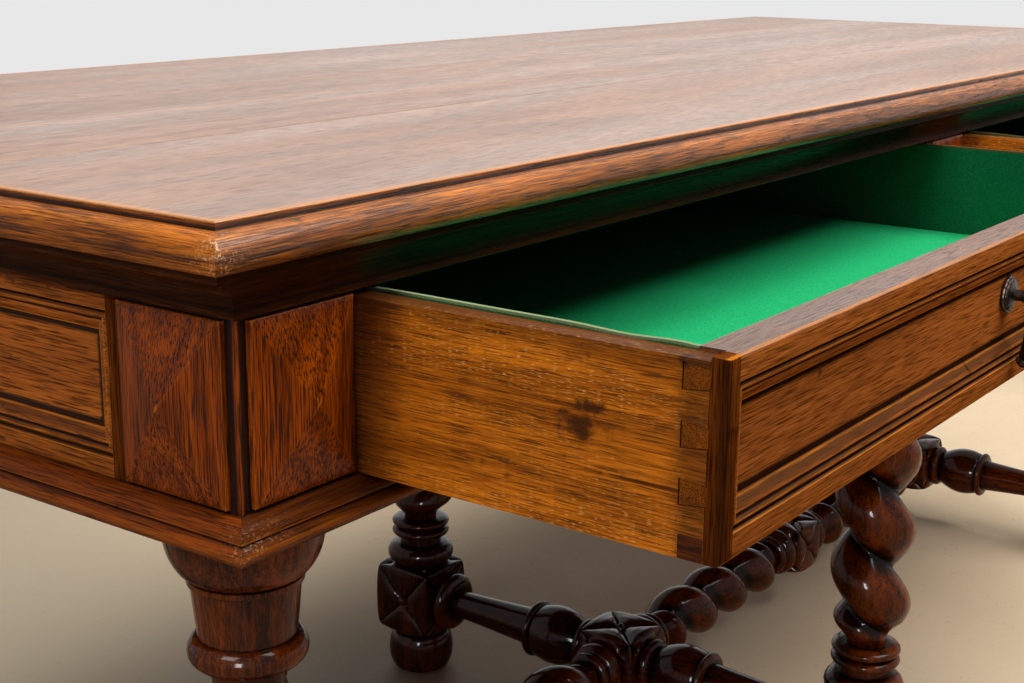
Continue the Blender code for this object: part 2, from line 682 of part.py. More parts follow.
# Drawer side with a groove for the bottom, cut away round the dovetail pins.
def build_drawer_side(name, holder, side, label):
    outer = side * DRAWER_WIDTH / 2
    inner = outer - side * SIDE_THICK
    deep = inner + side * GROOVE
    section = [(outer, 0), (inner, 0), (inner, BOTTOM_LIFT), (deep, BOTTOM_LIFT), (deep, GROOVE_TOP),
               (inner, GROOVE_TOP), (inner, SIDE_HEIGHT), (outer, SIDE_HEIGHT)]
    rings = [[(x, y, z) for x, z in section] for y in (LAP + GAP, DRAWER_DEPTH)]
    part = add_part(f"{name}_side_{label}", loft(rings), "drawer_oak", holder)
    apply_tool(part, "DIFFERENCE", dovetail_pins(outer, -side, GAP))


def build_drawer_box(name, holder):
    inner = DRAWER_WIDTH / 2 - SIDE_THICK
    back_y = DRAWER_DEPTH - BACK_THICK
    back = box((GAP - inner, back_y, GROOVE_TOP), (inner - GAP, DRAWER_DEPTH, SIDE_HEIGHT - BACK_DROP))
    add_part(f"{name}_back", back, "drawer_oak", holder)
    reach = inner + GROOVE - GAP
    bottom = box((-reach, FRONT_THICK - GROOVE + GAP, BOTTOM_LIFT + GAP), (reach, DRAWER_DEPTH, GROOVE_TOP - GAP))
    add_part(f"{name}_bottom", bottom, "drawer_oak", holder)
    x = inner - GAP
    y = (FRONT_THICK + GAP, back_y - GAP)
    low = GROOVE_TOP
    high = SIDE_HEIGHT - FELT_DROP
    middle = Matrix.Translation((0, (y[0] + y[1]) / 2, 0))
    depth = (y[1] - y[0]) / 2
    rings = [plan_ring(x, depth, low), plan_ring(x, depth, high)]
    rings += [plan_ring(x - FELT_THICK, depth - FELT_THICK, z) for z in (high, low + FELT_THICK)]
    add_part(f"{name}_felt", loft(rings), "felt", holder, middle)


# Rosette and post, drawn along +Z and laid along -Y, with a flat tongue round the pin.
def build_pull_plate(name, holder):
    face = ROSETTE_THICK + ROSETTE_DOME
    pin = face + POST_LENGTH
    tongue = pin - KNOB_RADIUS
    sections = turned([(ROSETTE_RADIUS, GAP), (ROSETTE_RADIUS, ROSETTE_THICK), (ROSETTE_BOSS, face),
                       (POST_RADIUS, face), (POST_RADIUS, tongue - SLOT_CLEAR)])
    for z in (tongue - SLOT_CLEAR, pin + TONGUE_REACH):
        sections.append([(x * TONGUE_THICK / 2, y * TONGUE_REACH, z) for x, y, _ in square_ring(2, 0)])
    place = Matrix.Translation((0, FIELD_DEPTH, PULL_HEIGHT)) @ Matrix.Rotation(math.pi / 2, 4, "X")
    part = add_part(f"{name}_plate", loft(sections), "bronze", holder, place, smooth=True)
    hole = Matrix.Translation((0, PULL_Y, PULL_HEIGHT)) @ Matrix.Rotation(math.pi / 2, 4, "Y")
    radius = (PIN_RADIUS + PIN_CLEAR) / math.cos(math.pi / SIDES)
    apply_tool(part, "DIFFERENCE", rod(radius, TONGUE_THICK + 2 * OVERCUT), hole)


# Drop that hangs from the pin: a slotted round head, a slim neck and a bell with a lip. The pin is at z = 0.
def build_pull_drop(name, holder):
    lip = DROP_LIP - DROP_LENGTH
    profile = [(DROP_BASE, -DROP_LENGTH), (DROP_RADIUS, DROP_ROUND - DROP_LENGTH), (DROP_RADIUS, lip)]
    waist = -KNOB_RADIUS - SLOT_DEPTH / 2
    for a in arc(3):
        height = lip + (waist - lip) * a * 2 / math.pi
        profile.append((DROP_NECK + (DROP_BELL - DROP_NECK) * math.cos(a), height))
    profile += [(KNOB_RADIUS * math.cos(a), KNOB_RADIUS * math.sin(a)) for a in (-KNOB_LOW, 0, KNOB_HIGH)]
    profile.append((KNOB_FLAT, KNOB_RADIUS))
    part = add_part(f"{name}_drop", loft(turned(profile, turn=0.0)), "bronze", holder, smooth=True)
    half = TONGUE_THICK / 2 + SLOT_CLEAR
    reach = KNOB_RADIUS + OVERCUT
    apply_tool(part, "DIFFERENCE", box((-half, -reach, -SLOT_DEPTH), (half, reach, reach)))
    radius = (PIN_RADIUS + PIN_CLEAR) / math.cos(math.pi / SIDES)
    across = Matrix.Rotation(math.pi / 2, 4, "Y")
    apply_tool(part, "DIFFERENCE", rod(radius, 2 * reach), across)
    add_part(f"{name}_pin", rod(PIN_RADIUS, 2 * KNOB_RADIUS), "bronze", holder, across, smooth=True)


def build_drawer(table, side, label, opening):
    holder = new_holder(f"slide_{label}", (side * BAY_X, -HALF_Y - opening, APRON_LOW + DRAWER_FLOOR_CLEAR), table)
    name = f"drawer_{label}"
    build_drawer_front(name, holder)
    build_drawer_side(name, holder, -1, "left")
    build_drawer_side(name, holder, 1, "right")
    build_drawer_box(name, holder)
    build_pull_plate(f"pull_{label}", holder)
    hinge = new_holder(f"hinge_{label}", (0, PULL_Y, PULL_HEIGHT), holder)
    build_pull_drop(f"pull_{label}", hinge)


def build_table():
    table = new_holder("table", (0, CENTRE_Y, 0))
    build_top(table)
    build_mouldings("cornice", cornice_outline(OVERHANG_END), cornice_outline(OVERHANG_LONG), table)
    build_mouldings("base_moulding", base_outline(), base_outline(), table)
    build_blocks(table)
    build_panels(table)
    build_bays(table)
    build_legs(table)
    build_stretchers(table)
    build_drawer(table, -1, "left", DRAWER_OPEN_LEFT)
    build_drawer(table, 1, "right", DRAWER_OPEN_RIGHT)


build_table()
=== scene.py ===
import json
import math
from functools import cache

import bmesh
import bpy
import numpy as np
from mathutils import Matrix, Vector

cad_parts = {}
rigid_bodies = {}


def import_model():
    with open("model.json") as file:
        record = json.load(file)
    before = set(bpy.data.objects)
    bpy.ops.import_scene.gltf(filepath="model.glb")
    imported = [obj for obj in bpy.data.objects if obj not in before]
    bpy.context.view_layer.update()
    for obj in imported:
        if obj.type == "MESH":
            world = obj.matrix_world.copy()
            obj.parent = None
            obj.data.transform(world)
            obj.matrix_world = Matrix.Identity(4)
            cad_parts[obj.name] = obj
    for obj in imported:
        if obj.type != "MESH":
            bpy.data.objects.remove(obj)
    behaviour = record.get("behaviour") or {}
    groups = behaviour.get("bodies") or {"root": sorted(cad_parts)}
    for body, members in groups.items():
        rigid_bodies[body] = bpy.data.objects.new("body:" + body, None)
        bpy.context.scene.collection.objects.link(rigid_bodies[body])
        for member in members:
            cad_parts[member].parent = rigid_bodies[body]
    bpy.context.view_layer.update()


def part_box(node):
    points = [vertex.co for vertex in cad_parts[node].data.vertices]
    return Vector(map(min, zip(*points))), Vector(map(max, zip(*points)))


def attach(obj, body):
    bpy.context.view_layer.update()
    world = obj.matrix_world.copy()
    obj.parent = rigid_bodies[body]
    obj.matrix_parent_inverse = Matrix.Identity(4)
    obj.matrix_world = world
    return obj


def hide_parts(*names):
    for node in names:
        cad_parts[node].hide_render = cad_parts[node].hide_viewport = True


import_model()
print("stage: frame loaded")


# Settings: a dictionary whose values are also read by name, as in leg.block.
class Settings(dict):
    __getattr__ = dict.__getitem__


# Sizes in metres. The table's middle is at y = tableY and the floor at z = 0.
tableY = (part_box("top_board_front")[0].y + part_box("top_board_back")[1].y) / 2
carcase = Settings(halfX=0.905, halfY=0.335, post=0.0815, topZ=0.77, slabLow=0.7477, corniceLow=0.7195,
                   apronLow=0.62, baseLow=0.6, gap=0.0003)
halfX, halfY, post, topZ, slabLow, corniceLow, apronLow, baseLow, gap = carcase.values()
blockHigh = slabLow - gap
legX, legY = halfX - post / 2, halfY - post / 2
sides = ((-1, "left"), (1, "right"))
rows = ((-1, "front"), (1, "back"))
columns = ((-legX, "left"), (0.0, "centre"), (legX, "right"))
weld = Settings(same=2e-6, thin=1e-7)


# Helpers for shells: a shell is (points, quads, wear), and wear is 1 on rubbed edges and -1 in dirty corners.
def gridShell(points, wear=0.0, wrap=False):
    count, width = points.shape[:2]
    row = np.arange(count - 1)[:, None] * width
    a = np.arange(width if wrap else width - 1)[None, :]
    b = (a + 1) % width
    quads = np.stack([row + a, row + b, row + width + b, row + width + a], -1).reshape(-1, 4)
    return points.reshape(-1, 3), quads, np.broadcast_to(wear, (count, width)).reshape(-1).astype(float)


def joinShells(shells):
    points, quads, wear = zip(*shells)
    starts = np.cumsum([0] + [len(part) for part in points])
    joined = [part + start for part, start in zip(quads, starts)]
    return np.concatenate(points), np.concatenate(joined), np.concatenate(wear)


def moved(shell, offset):
    return shell[0] + np.asarray(offset), *shell[1:]


def turnedTo(shell, axes, offset=(0, 0, 0)):
    # axes gives, for the shell's x, y and z, the world direction that each one takes
    return shell[0] @ np.asarray(axes, float) + np.asarray(offset), *shell[1:]


def addAttribute(mesh, name, values):
    layer = mesh.attributes.new(name, "FLOAT", "POINT")
    layer.data.foreach_set("value", np.asarray(values, np.float32))


def fullTurn(count):
    return 2 * np.pi * np.arange(count) / count


def show(name, data):
    item = bpy.data.objects.new(name, data)
    bpy.context.scene.collection.objects.link(item)
    return item


def placesOf(items, key):
    places = np.zeros(3 * len(items), np.float32)
    items.foreach_get(key, places)
    return places.reshape(-1, 3)


def addPiece(name, shells, material, body, nodes=(), slot=None, angle=32.0, shift=0.0, marks=(), others=()):
    # marks are further attributes as functions of place; others are more materials and where each one goes
    points, quads, wear = joinShells(shells)
    mesh = bpy.data.meshes.new(name)
    mesh.vertices.add(len(points))
    mesh.vertices.foreach_set("co", points.astype(np.float32).ravel())
    mesh.loops.add(quads.size)
    mesh.loops.foreach_set("vertex_index", quads.astype(np.int32).ravel())
    mesh.polygons.add(len(quads))
    mesh.polygons.foreach_set("loop_start", np.arange(0, quads.size, 4, dtype=np.int32))
    mesh.update(calc_edges=True)
    addAttribute(mesh, "wear", wear)
    work = bmesh.new()
    work.from_mesh(mesh)
    bmesh.ops.remove_doubles(work, verts=work.verts, dist=weld.same)
    bmesh.ops.dissolve_degenerate(work, edges=work.edges, dist=weld.thin)
    bmesh.ops.holes_fill(work, edges=[edge for edge in work.edges if edge.is_boundary])
    bmesh.ops.recalc_face_normals(work, faces=work.faces)
    work.to_mesh(mesh)
    work.free()
    addAttribute(mesh, "shift", np.full(len(mesh.vertices), shift))
    for key, mark in marks:
        addAttribute(mesh, key, mark(placesOf(mesh.vertices, "co")))
    mesh.shade_smooth()
    mesh.set_sharp_from_angle(angle=math.radians(angle))
    mesh.materials.append(material)
    number = np.zeros(len(mesh.polygons), np.int32)
    for index, (extra, where) in enumerate(others, 1):
        mesh.materials.append(extra)
        number[where(placesOf(mesh.polygons, "center"))] = index
    mesh.polygons.foreach_set("material_index", number)
    piece = show(name, mesh)
    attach(piece, body)
    if nodes:
        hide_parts(*nodes)
    return piece


# A piece of the fixed table stands for one node, and is called like it in camel case.
def addFixed(node, shells, kind, axis, slot="apron_oak", **more):
    first, *words = node.split("_")
    name = first + "".join(word.title() for word in words)
    addPiece(name, shells, oak(kind, axis), "table", [node], slot, **more)


# Lines across a board, counted in from both edges: positions, and the step of the profile each one is on.
def profileLines(length, start, end, cells):
    inner = np.linspace(start[-1], length - end[-1], cells + 1)[1:-1]
    place = np.r_[start, inner, length - end[::-1]]
    step = np.arange(len(start), dtype=float)
    return place, np.r_[step, np.full(len(inner), step[-1]), step[::-1]]


# Two sheets over one grid, joined round the rim: a point is (u, v, depth), and front and back are the depths.
upright = ((1, 0, 0), (0, 0, 1), (0, 1, 0))


def sheetShell(u, v, front, back, wear=0.0, backWear=0.0):
    u, v = np.meshgrid(u, v, indexing="ij") if u.ndim == 1 else (u, v)
    near, far = (np.stack([u, v, np.broadcast_to(depth, u.shape)], -1) for depth in (front, back))
    marks = np.broadcast_to(wear, u.shape)
    rim = [gridShell(np.stack([near[edge], far[edge]]), np.stack([marks[edge]] * 2))
           for edge in (np.s_[0], np.s_[-1], np.s_[:, 0], np.s_[:, -1])]
    return joinShells([gridShell(near, marks), gridShell(far, backWear), *rim])


# Wear from a height: the height times a gain, less an amount, between two limits.
def rubbed(height, gain, less, low=-1.0, high=1.0):
    return np.clip(height * gain - less, low, high)


# Box with every edge rounded: a point past the inner box is set back to the rounding's radius from it.
boxRub = Settings(start=0.93, span=0.06, most=0.4)


def roundedBox(low, high, radius, cells=6, carve=None):
    low, high = np.asarray(low, float), np.asarray(high, float)
    half, middle = (high - low) / 2, (high + low) / 2
    shells = []
    for axis in range(3):
        across, up = (axis + 1) % 3, (axis + 2) % 3
        lines = []
        for edge in (radius / half[across], radius / half[up]):
            ring = 1 - edge + edge * np.linspace(0, 1, 4)
            lines.append(np.r_[-ring[::-1], np.linspace(edge - 1, 1 - edge, cells + 1)[1:-1], ring])
        gridA, gridB = np.meshgrid(*lines, indexing="ij")
        rub = np.clip((np.maximum(np.abs(gridA), np.abs(gridB)) - boxRub.start) / boxRub.span, 0, 1)
        for sign in (-1, 1):
            cube = np.zeros(gridA.shape + (3,))
            cube[..., axis] = sign * half[axis]
            cube[..., across] = gridA * half[across]
            cube[..., up] = gridB * half[up]
            inner = np.clip(cube, radius - half, half - radius)
            away = cube - inner
            away *= radius / np.maximum(np.linalg.norm(away, axis=-1, keepdims=True), 1e-9)
            point, wear = inner + away, boxRub.most * rub
            if carve:
                sunk, wear = carve(cube / half)
                point = point * (1 - sunk / np.linalg.norm(point, axis=-1))[..., None]
            shells.append(gridShell(point + middle, wear))
    return joinShells(shells)


# Four rounded petals cut into every face, with valleys along its diagonals and a button in the middle.
# b and c are the larger and smaller distance from the face's middle, so a petal is sqrt(1 - (c / b)^2) high.
petal = Settings(
    at=[0, 0.12, 0.3, 0.55, 0.8, 1.0], high=[0, 0.2, 0.8, 1.0, 0.95, 0.72], button=0.17, buttonHigh=1.1,
    flatFrom=0.95, flatSpan=0.15, face=0.999, wear=(1.4, 0.9, -0.95, 0.3), round=0.0025, cells=44)


def petalBlock(low, high, depth, plain):
    def carve(place):
        size = np.sort(np.abs(place), -1)
        b, c = size[..., 1], size[..., 0]
        swell = np.sqrt(np.clip(1 - (c / np.maximum(b, 1e-6)) ** 2, 0, 1))
        button = np.sqrt(np.clip(1 - (b ** 2 + c ** 2) / petal.button ** 2, 0, 1))
        height = np.maximum(swell * np.interp(b, petal.at, petal.high), petal.buttonHigh * button)
        for axis in plain:  # faces that carry a turning stay flat under it
            reach = np.linalg.norm(np.delete(place, axis, -1), axis=-1)
            flat = np.clip((petal.flatFrom - reach) / petal.flatSpan, 0, 1)
            height = height + (1 - height) * flat * (np.abs(place[..., axis]) > petal.face)
        return depth * (1 - height), rubbed(height, *petal.wear)

    return roundedBox(low, high, petal.round, petal.cells, carve)


# Turned outline from a list of (kind, height, radius at start, radius at the swelling, radius at end).
# A bead swells by half an ellipse, a vase swells most near its end, and a cone runs straight.
turning = Settings(steps=12, around=72, perTurn=36, fade=0.35, first=0.75 * math.pi, vaseLate=1.35,
                   vaseFull=0.75, beadWear=(1.2, 0.8), twistWear=(1.5, 1.0, -0.8, 0.5))


def turnedOutline(parts, start=0.0):
    t = (1 - np.cos(np.pi * np.arange(turning.steps + 1) / turning.steps)) / 2
    swells = {"cone": np.zeros_like(t), "bead": np.sqrt(np.clip(1 - (2 * t - 1) ** 2, 0, 1)),
              "vase": np.sin(np.pi * t ** turning.vaseLate) ** turning.vaseFull}
    runs = []
    for kind, height, first, middle, last in parts:
        line, swell = first + (last - first) * t, swells[kind]
        wear = swell if kind == "cone" else rubbed(swell, *turning.beadWear)
        runs.append((start + height * t, line + (middle - line) * swell, wear))
        start += height
    return [np.concatenate(column) for column in zip(*runs)]


# Surface turned about z: x = r cos a, y = r sin a. A run is (heights, radii, wear), per ring or per point.
def turnedShell(*runs, around=turning.around):
    def full(values, count):
        values = np.asarray(values, float)
        return np.broadcast_to(values[:, None] if values.ndim == 1 else values, (count, around))

    angle = fullTurn(around)
    level, ring, marks = (np.concatenate([full(run[k], len(run[0])) for run in runs]) for k in range(3))
    return gridShell(np.stack([ring * np.cos(angle), ring * np.sin(angle), level], -1), marks, wrap=True)


# One strand wound round a core: r = core + bulge |cos(half the angle from the crest)|, and the crest climbs.
def twistRings(low, high, shape, hand, first=turning.first):
    turns = (high - low) / shape.pitch
    along = np.linspace(0, turns, int(turns * turning.perTurn))
    swell = np.clip(np.minimum(along, turns - along) / turning.fade, 0, 1)
    swell = (swell * swell * (3 - 2 * swell))[:, None]
    crest = np.abs(np.cos((fullTurn(turning.around) - first - hand * 2 * np.pi * along[:, None]) / 2))
    wear = rubbed(crest, *turning.twistWear) * swell
    return low + along / turns * (high - low), shape.core + shape.bulge * swell * crest, wear


# Moulding with mitred ends: the outline (how far out, height) runs straight from one mitre to the other.
def mouldingShell(outline, endOut, half, across, axis, sign, stations=49):
    out, height, wear = outline
    along = np.linspace(-1, 1, stations)[:, None] * (half + endOut)
    beyond = np.broadcast_to(sign * (across + out), along.shape)
    x, y = (along, beyond) if axis == "x" else (beyond, along)
    return gridShell(np.stack([x, y + tableY, np.broadcast_to(height, along.shape)], -1), wear, wrap=True)


# Materials: each one is a tree of noises stretched along the grain.
class Tree:
    def __init__(self, name, owners=bpy.data.materials, shader="Principled BSDF"):
        self.owner = owners.new(name)
        self.owner.use_nodes = True
        self.nodes = self.owner.node_tree.nodes
        self.shader = self.nodes[shader]

    def put(self, socket, value):
        if hasattr(value, "is_linked"):
            self.owner.node_tree.links.new(value, socket)
        else:
            socket.default_value = value

    def node(self, kind, *inputs, **values):
        node = self.nodes.new(kind)
        for key, value in values.items():
            setattr(node, key, value)
        for socket, value in zip(node.inputs, inputs):
            self.put(socket, value)
        return node

    def place(self):
        return self.node("ShaderNodeTexCoord").outputs["Object"]

    def attribute(self, name):
        return self.node("ShaderNodeAttribute", attribute_name=name).outputs["Fac"]

    def maths(self, operation, a, b):
        return self.node("ShaderNodeMath", a, b, operation=operation).outputs[0]

    def plus(self, a, b):
        return self.maths("ADD", a, b)

    def minus(self, a, b):
        return self.maths("SUBTRACT", a, b)

    def times(self, a, b):
        return self.maths("MULTIPLY", a, b)

    def vector(self, operation, *inputs):
        node = self.node("ShaderNodeVectorMath", *inputs, operation=operation)
        return node.outputs["Value" if operation in ("LENGTH", "DISTANCE") else "Vector"]

    def noise(self, vector, scale, detail=3.0, roughness=0.55, distortion=0.0):
        node = self.node("ShaderNodeTexNoise", vector)
        numbers = (("Scale", scale), ("Detail", detail), ("Roughness", roughness), ("Distortion", distortion))
        for name, value in numbers:
            node.inputs[name].default_value = value
        return node.outputs["Fac"]

    def spread(self, value, low, high, first=0.0, last=1.0):
        node = self.node("ShaderNodeMapRange", value, low, high, first, last, interpolation_type="SMOOTHSTEP")
        return node.outputs["Result"]

    def mix(self, share, a, b):
        node = self.node("ShaderNodeMix", data_type="RGBA")
        self.put(node.inputs["Factor"], share)
        for name, colour in (("A", a), ("B", b)):
            self.put(node.inputs[name], colour if hasattr(colour, "is_linked") else (*colour, 1.0))
        return node.outputs["Result"]

    def shade(self, values):
        for name, value in values.items():
            self.put(self.shader.inputs[name], value)

    def bump(self, height, distance):
        node = self.node("ShaderNodeBump")
        self.put(node.inputs["Distance"], distance)
        self.put(node.inputs["Height"], height)
        self.shade({"Normal": node.outputs["Normal"]})


# Settings of oak: scales of its noises, the range of each that shows, how much of it shows, and the colours.
# A kind of oak changes some of them. The shape of a noise is its detail, roughness and distortion.
plainOak = Settings(
    shift=(3.7, 5.3, 2.9), fine=0.03, broad=0.12, rings=6.0, ragged=1.3, bump=0.0001, toneScale=2.6,
    figureScale=9.0, stripeScale=380.0, streakScale=1250.0, poreScale=1500.0, rowScale=26.0,
    chipScale=520.0, dentScale=46.0, smearScale=9.0, lightRange=(0.36, 1.08), toneRange=(0.35, 0.7),
    poreRange=(0.53, 0.63), rimRange=(0.5, 0.9), fleckRange=(0.64, 0.72), rowRange=(0.42, 0.56),
    wearRange=(0.25, 0.85), dirtRange=(-0.1, -0.75), chipRange=(0.54, 0.62), dentRange=(0.69, 0.76),
    smearRange=(0.3, 0.7), knotRange=(0.9, 1.5), bandShare=0.35, stripeShare=0.5, streakShare=0.75,
    toneShare=0.4, poreShare=0.75, wearShare=0.75, dirtShare=0.95, dentShare=0.6, streakHigh=0.7,
    poreDeep=0.9, dentDeep=1.6, toneHigh=1.2, gloss=0.3, glossLess=0.06, glossMore=0.08, poreGloss=0.18,
    sheen=0.04, coat=0.0, coatGloss=0.1, dark=(0.05, 0.01, 0.0015), pale=(0.3, 0.078, 0.008),
    tone=(0.1, 0.02, 0.003), pore=(0.012, 0.003, 0.001), worn=(0.52, 0.16, 0.012),
    dirt=(0.006, 0.0025, 0.0015))
noiseShapes = Settings(
    tone=(2.0,), figure=(3.0, 0.5, 0.6), stripe=(3.0, 0.6), streak=(3.0, 0.65), pore=(1.0, 0.5),
    fleck=(0.0,), row=(2.0,), chip=(4.0, 0.7), dent=(2.0, 0.6), smear=(3.0,), knot=(4.0, 0.65))
# Dark spots on a drawer's side: y, z, size, scale and roughness of the rim, and how dark. The first three are
# knots; the next two are painted shade beside the corner block and behind it, where the top and the block
# shade the side; the last two darken the side at its front end and along its top edge.
knotAndShadeX = -0.82
knots = ((-0.3712, 0.6735, (0.03, 0.026, 0.013), 130.0, 1.5, 0.92),
         (-0.3765, 0.6835, (0.03, 0.016, 0.0065), 190.0, 1.4, 0.92),
         (-0.4049, 0.6527, (0.03, 0.055, 0.0018), 60.0, 1.2, 0.9),
         (-0.225, 0.67, (0.06, 0.034, 0.14), 40.0, 0.5, 0.45),
         (-0.05, 0.67, (0.06, 0.17, 0.3), 40.0, 0.5, 0.5),
         (-0.44, 0.67, (0.06, 0.021, 0.14), 160.0, 0.8, 0.62),
         (-0.34, 0.723, (0.06, 0.6, 0.014), 60.0, 0.6, 0.5))
oakKinds = {
    "topOak": dict(dark=(0.08, 0.032, 0.012), pale=(0.25, 0.109, 0.046), tone=(0.145, 0.062, 0.026),
        pore=(0.045, 0.018, 0.008), worn=(0.38, 0.145, 0.028), dirt=(0.025, 0.01, 0.006), figureScale=5.0,
        rings=8.0, bandShare=0.5, poreShare=0.7, toneShare=0.35, gloss=0.4, sheen=0.4, coat=0.33,
        coatGloss=0.33),
    "edgeOak": dict(dark=(0.02, 0.005, 0.001), pale=(0.48, 0.138, 0.02), tone=(0.12, 0.03, 0.003),
        dirt=(0.012, 0.004, 0.002), chip=(0.46, 0.27, 0.13), lightRange=(0.43, 1.08), gloss=0.24,
        sheen=0.24),
    "edgeEndOak": dict(dark=(0.03, 0.007, 0.001), pale=(0.52, 0.136, 0.008), tone=(0.16, 0.04, 0.003),
        dirt=(0.012, 0.004, 0.002), chip=(0.46, 0.27, 0.13), gloss=0.24, sheen=0.1),
    # painted shade: the cornice lies under the top's overhang, so its oak is darkened, the long runs more
    # than the ends
    "corniceOak": dict(dark=(0.01, 0.0024, 0.0007), pale=(0.06, 0.015, 0.002), tone=(0.018, 0.0045, 0.001),
        wearShare=0.5, sheen=0.02),
    "corniceEndOak": dict(dark=(0.014, 0.0034, 0.0008), pale=(0.085, 0.021, 0.003),
        tone=(0.026, 0.006, 0.001), wearShare=0.5, sheen=0.02),
    "baseOak": dict(dark=(0.04, 0.007, 0.001), pale=(0.26, 0.05, 0.004), tone=(0.08, 0.014, 0.001),
        chip=(0.36, 0.19, 0.09), worn=(0.36, 0.09, 0.008), wearShare=0.45, sheen=0.06),
    # painted shade: the long runs of the base moulding take a darker copy of the ends' oak
    "baseLongOak": dict(dark=(0.02, 0.004, 0.0008), pale=(0.105, 0.024, 0.003), tone=(0.04, 0.008, 0.001),
        chip=(0.3, 0.15, 0.07), worn=(0.3, 0.075, 0.006), wearShare=0.45),
    "panelOak": dict(dark=(0.12, 0.028, 0.004), pale=(0.5, 0.14, 0.018), tone=(0.2, 0.044, 0.006),
        wearShare=0.6, rimDark=(0.06, 0.018, 0.006), rimShare=0.7, rimRange=(0.1, 0.6)),
    "frontOak": dict(dark=(0.1, 0.027, 0.006), pale=(0.42, 0.12, 0.022), tone=(0.13, 0.033, 0.006),
        wearShare=0.6, rimDark=(0.064, 0.026, 0.011), rimShare=0.85, rimRange=(0.1, 0.6),
        lightRange=(0.22, 1.18), poreShare=0.6, toneShare=0.25, rings=4.0, sheen=0.0),
    # painted shade: the top face of a drawer front takes a darker oak than the front
    "lipOak": dict(dark=(0.055, 0.023, 0.01), pale=(0.13, 0.047, 0.016), tone=(0.074, 0.028, 0.011),
        poreShare=0.5, wearShare=0.6, sheen=0.4),
    "stileOak": dict(dark=(0.028, 0.006, 0.001), pale=(0.17, 0.042, 0.006), sheen=0.0),
    "blockOak": dict(dark=(0.05, 0.007, 0.0006), pale=(0.4, 0.07, 0.002), tone=(0.09, 0.013, 0.001),
        stripeScale=600.0, streakScale=1800.0, ringPitch=0.0065, rings=0.9, bandShare=0.42, poreShare=0.85,
        wearShare=0.4, lightRange=(0.39, 1.08), poreRange=(0.5, 0.6), gloss=0.2, sheen=0.07),
    "turnedOak": dict(dark=(0.006, 0.0012, 0.0003), pale=(0.21, 0.036, 0.001), tone=(0.034, 0.005, 0.0004),
        worn=(0.13, 0.03, 0.003), dirt=(0.003, 0.001, 0.0006), stripeScale=260.0, stripeShare=0.8,
        bandShare=0.5, wearShare=0.5, lightRange=(0.58, 1.22), gloss=0.15, sheen=0.03, coat=0.2,
        coatGloss=0.09, bump=0.00003),
    "drawerOak": dict(dark=(0.11, 0.022, 0.001), pale=(0.74, 0.212, 0.008), tone=(0.24, 0.054, 0.003),
        pore=(0.05, 0.013, 0.002), fleck=(0.8, 0.42, 0.13), rimDark=(0.055, 0.017, 0.004),
        knotColour=(0.04, 0.01, 0.002), knots=knots, figureScale=12.0, fleckScale=2000.0, poreShare=0.7,
        toneShare=0.6, fleckShare=0.45, rimShare=0.85, gloss=0.4, sheen=0.06),
    "pinOak": dict(dark=(0.055, 0.013, 0.001), pale=(0.33, 0.088, 0.006)),
    "innerOak": dict(dark=(0.11, 0.045, 0.018), pale=(0.24, 0.105, 0.04), gloss=0.6)}
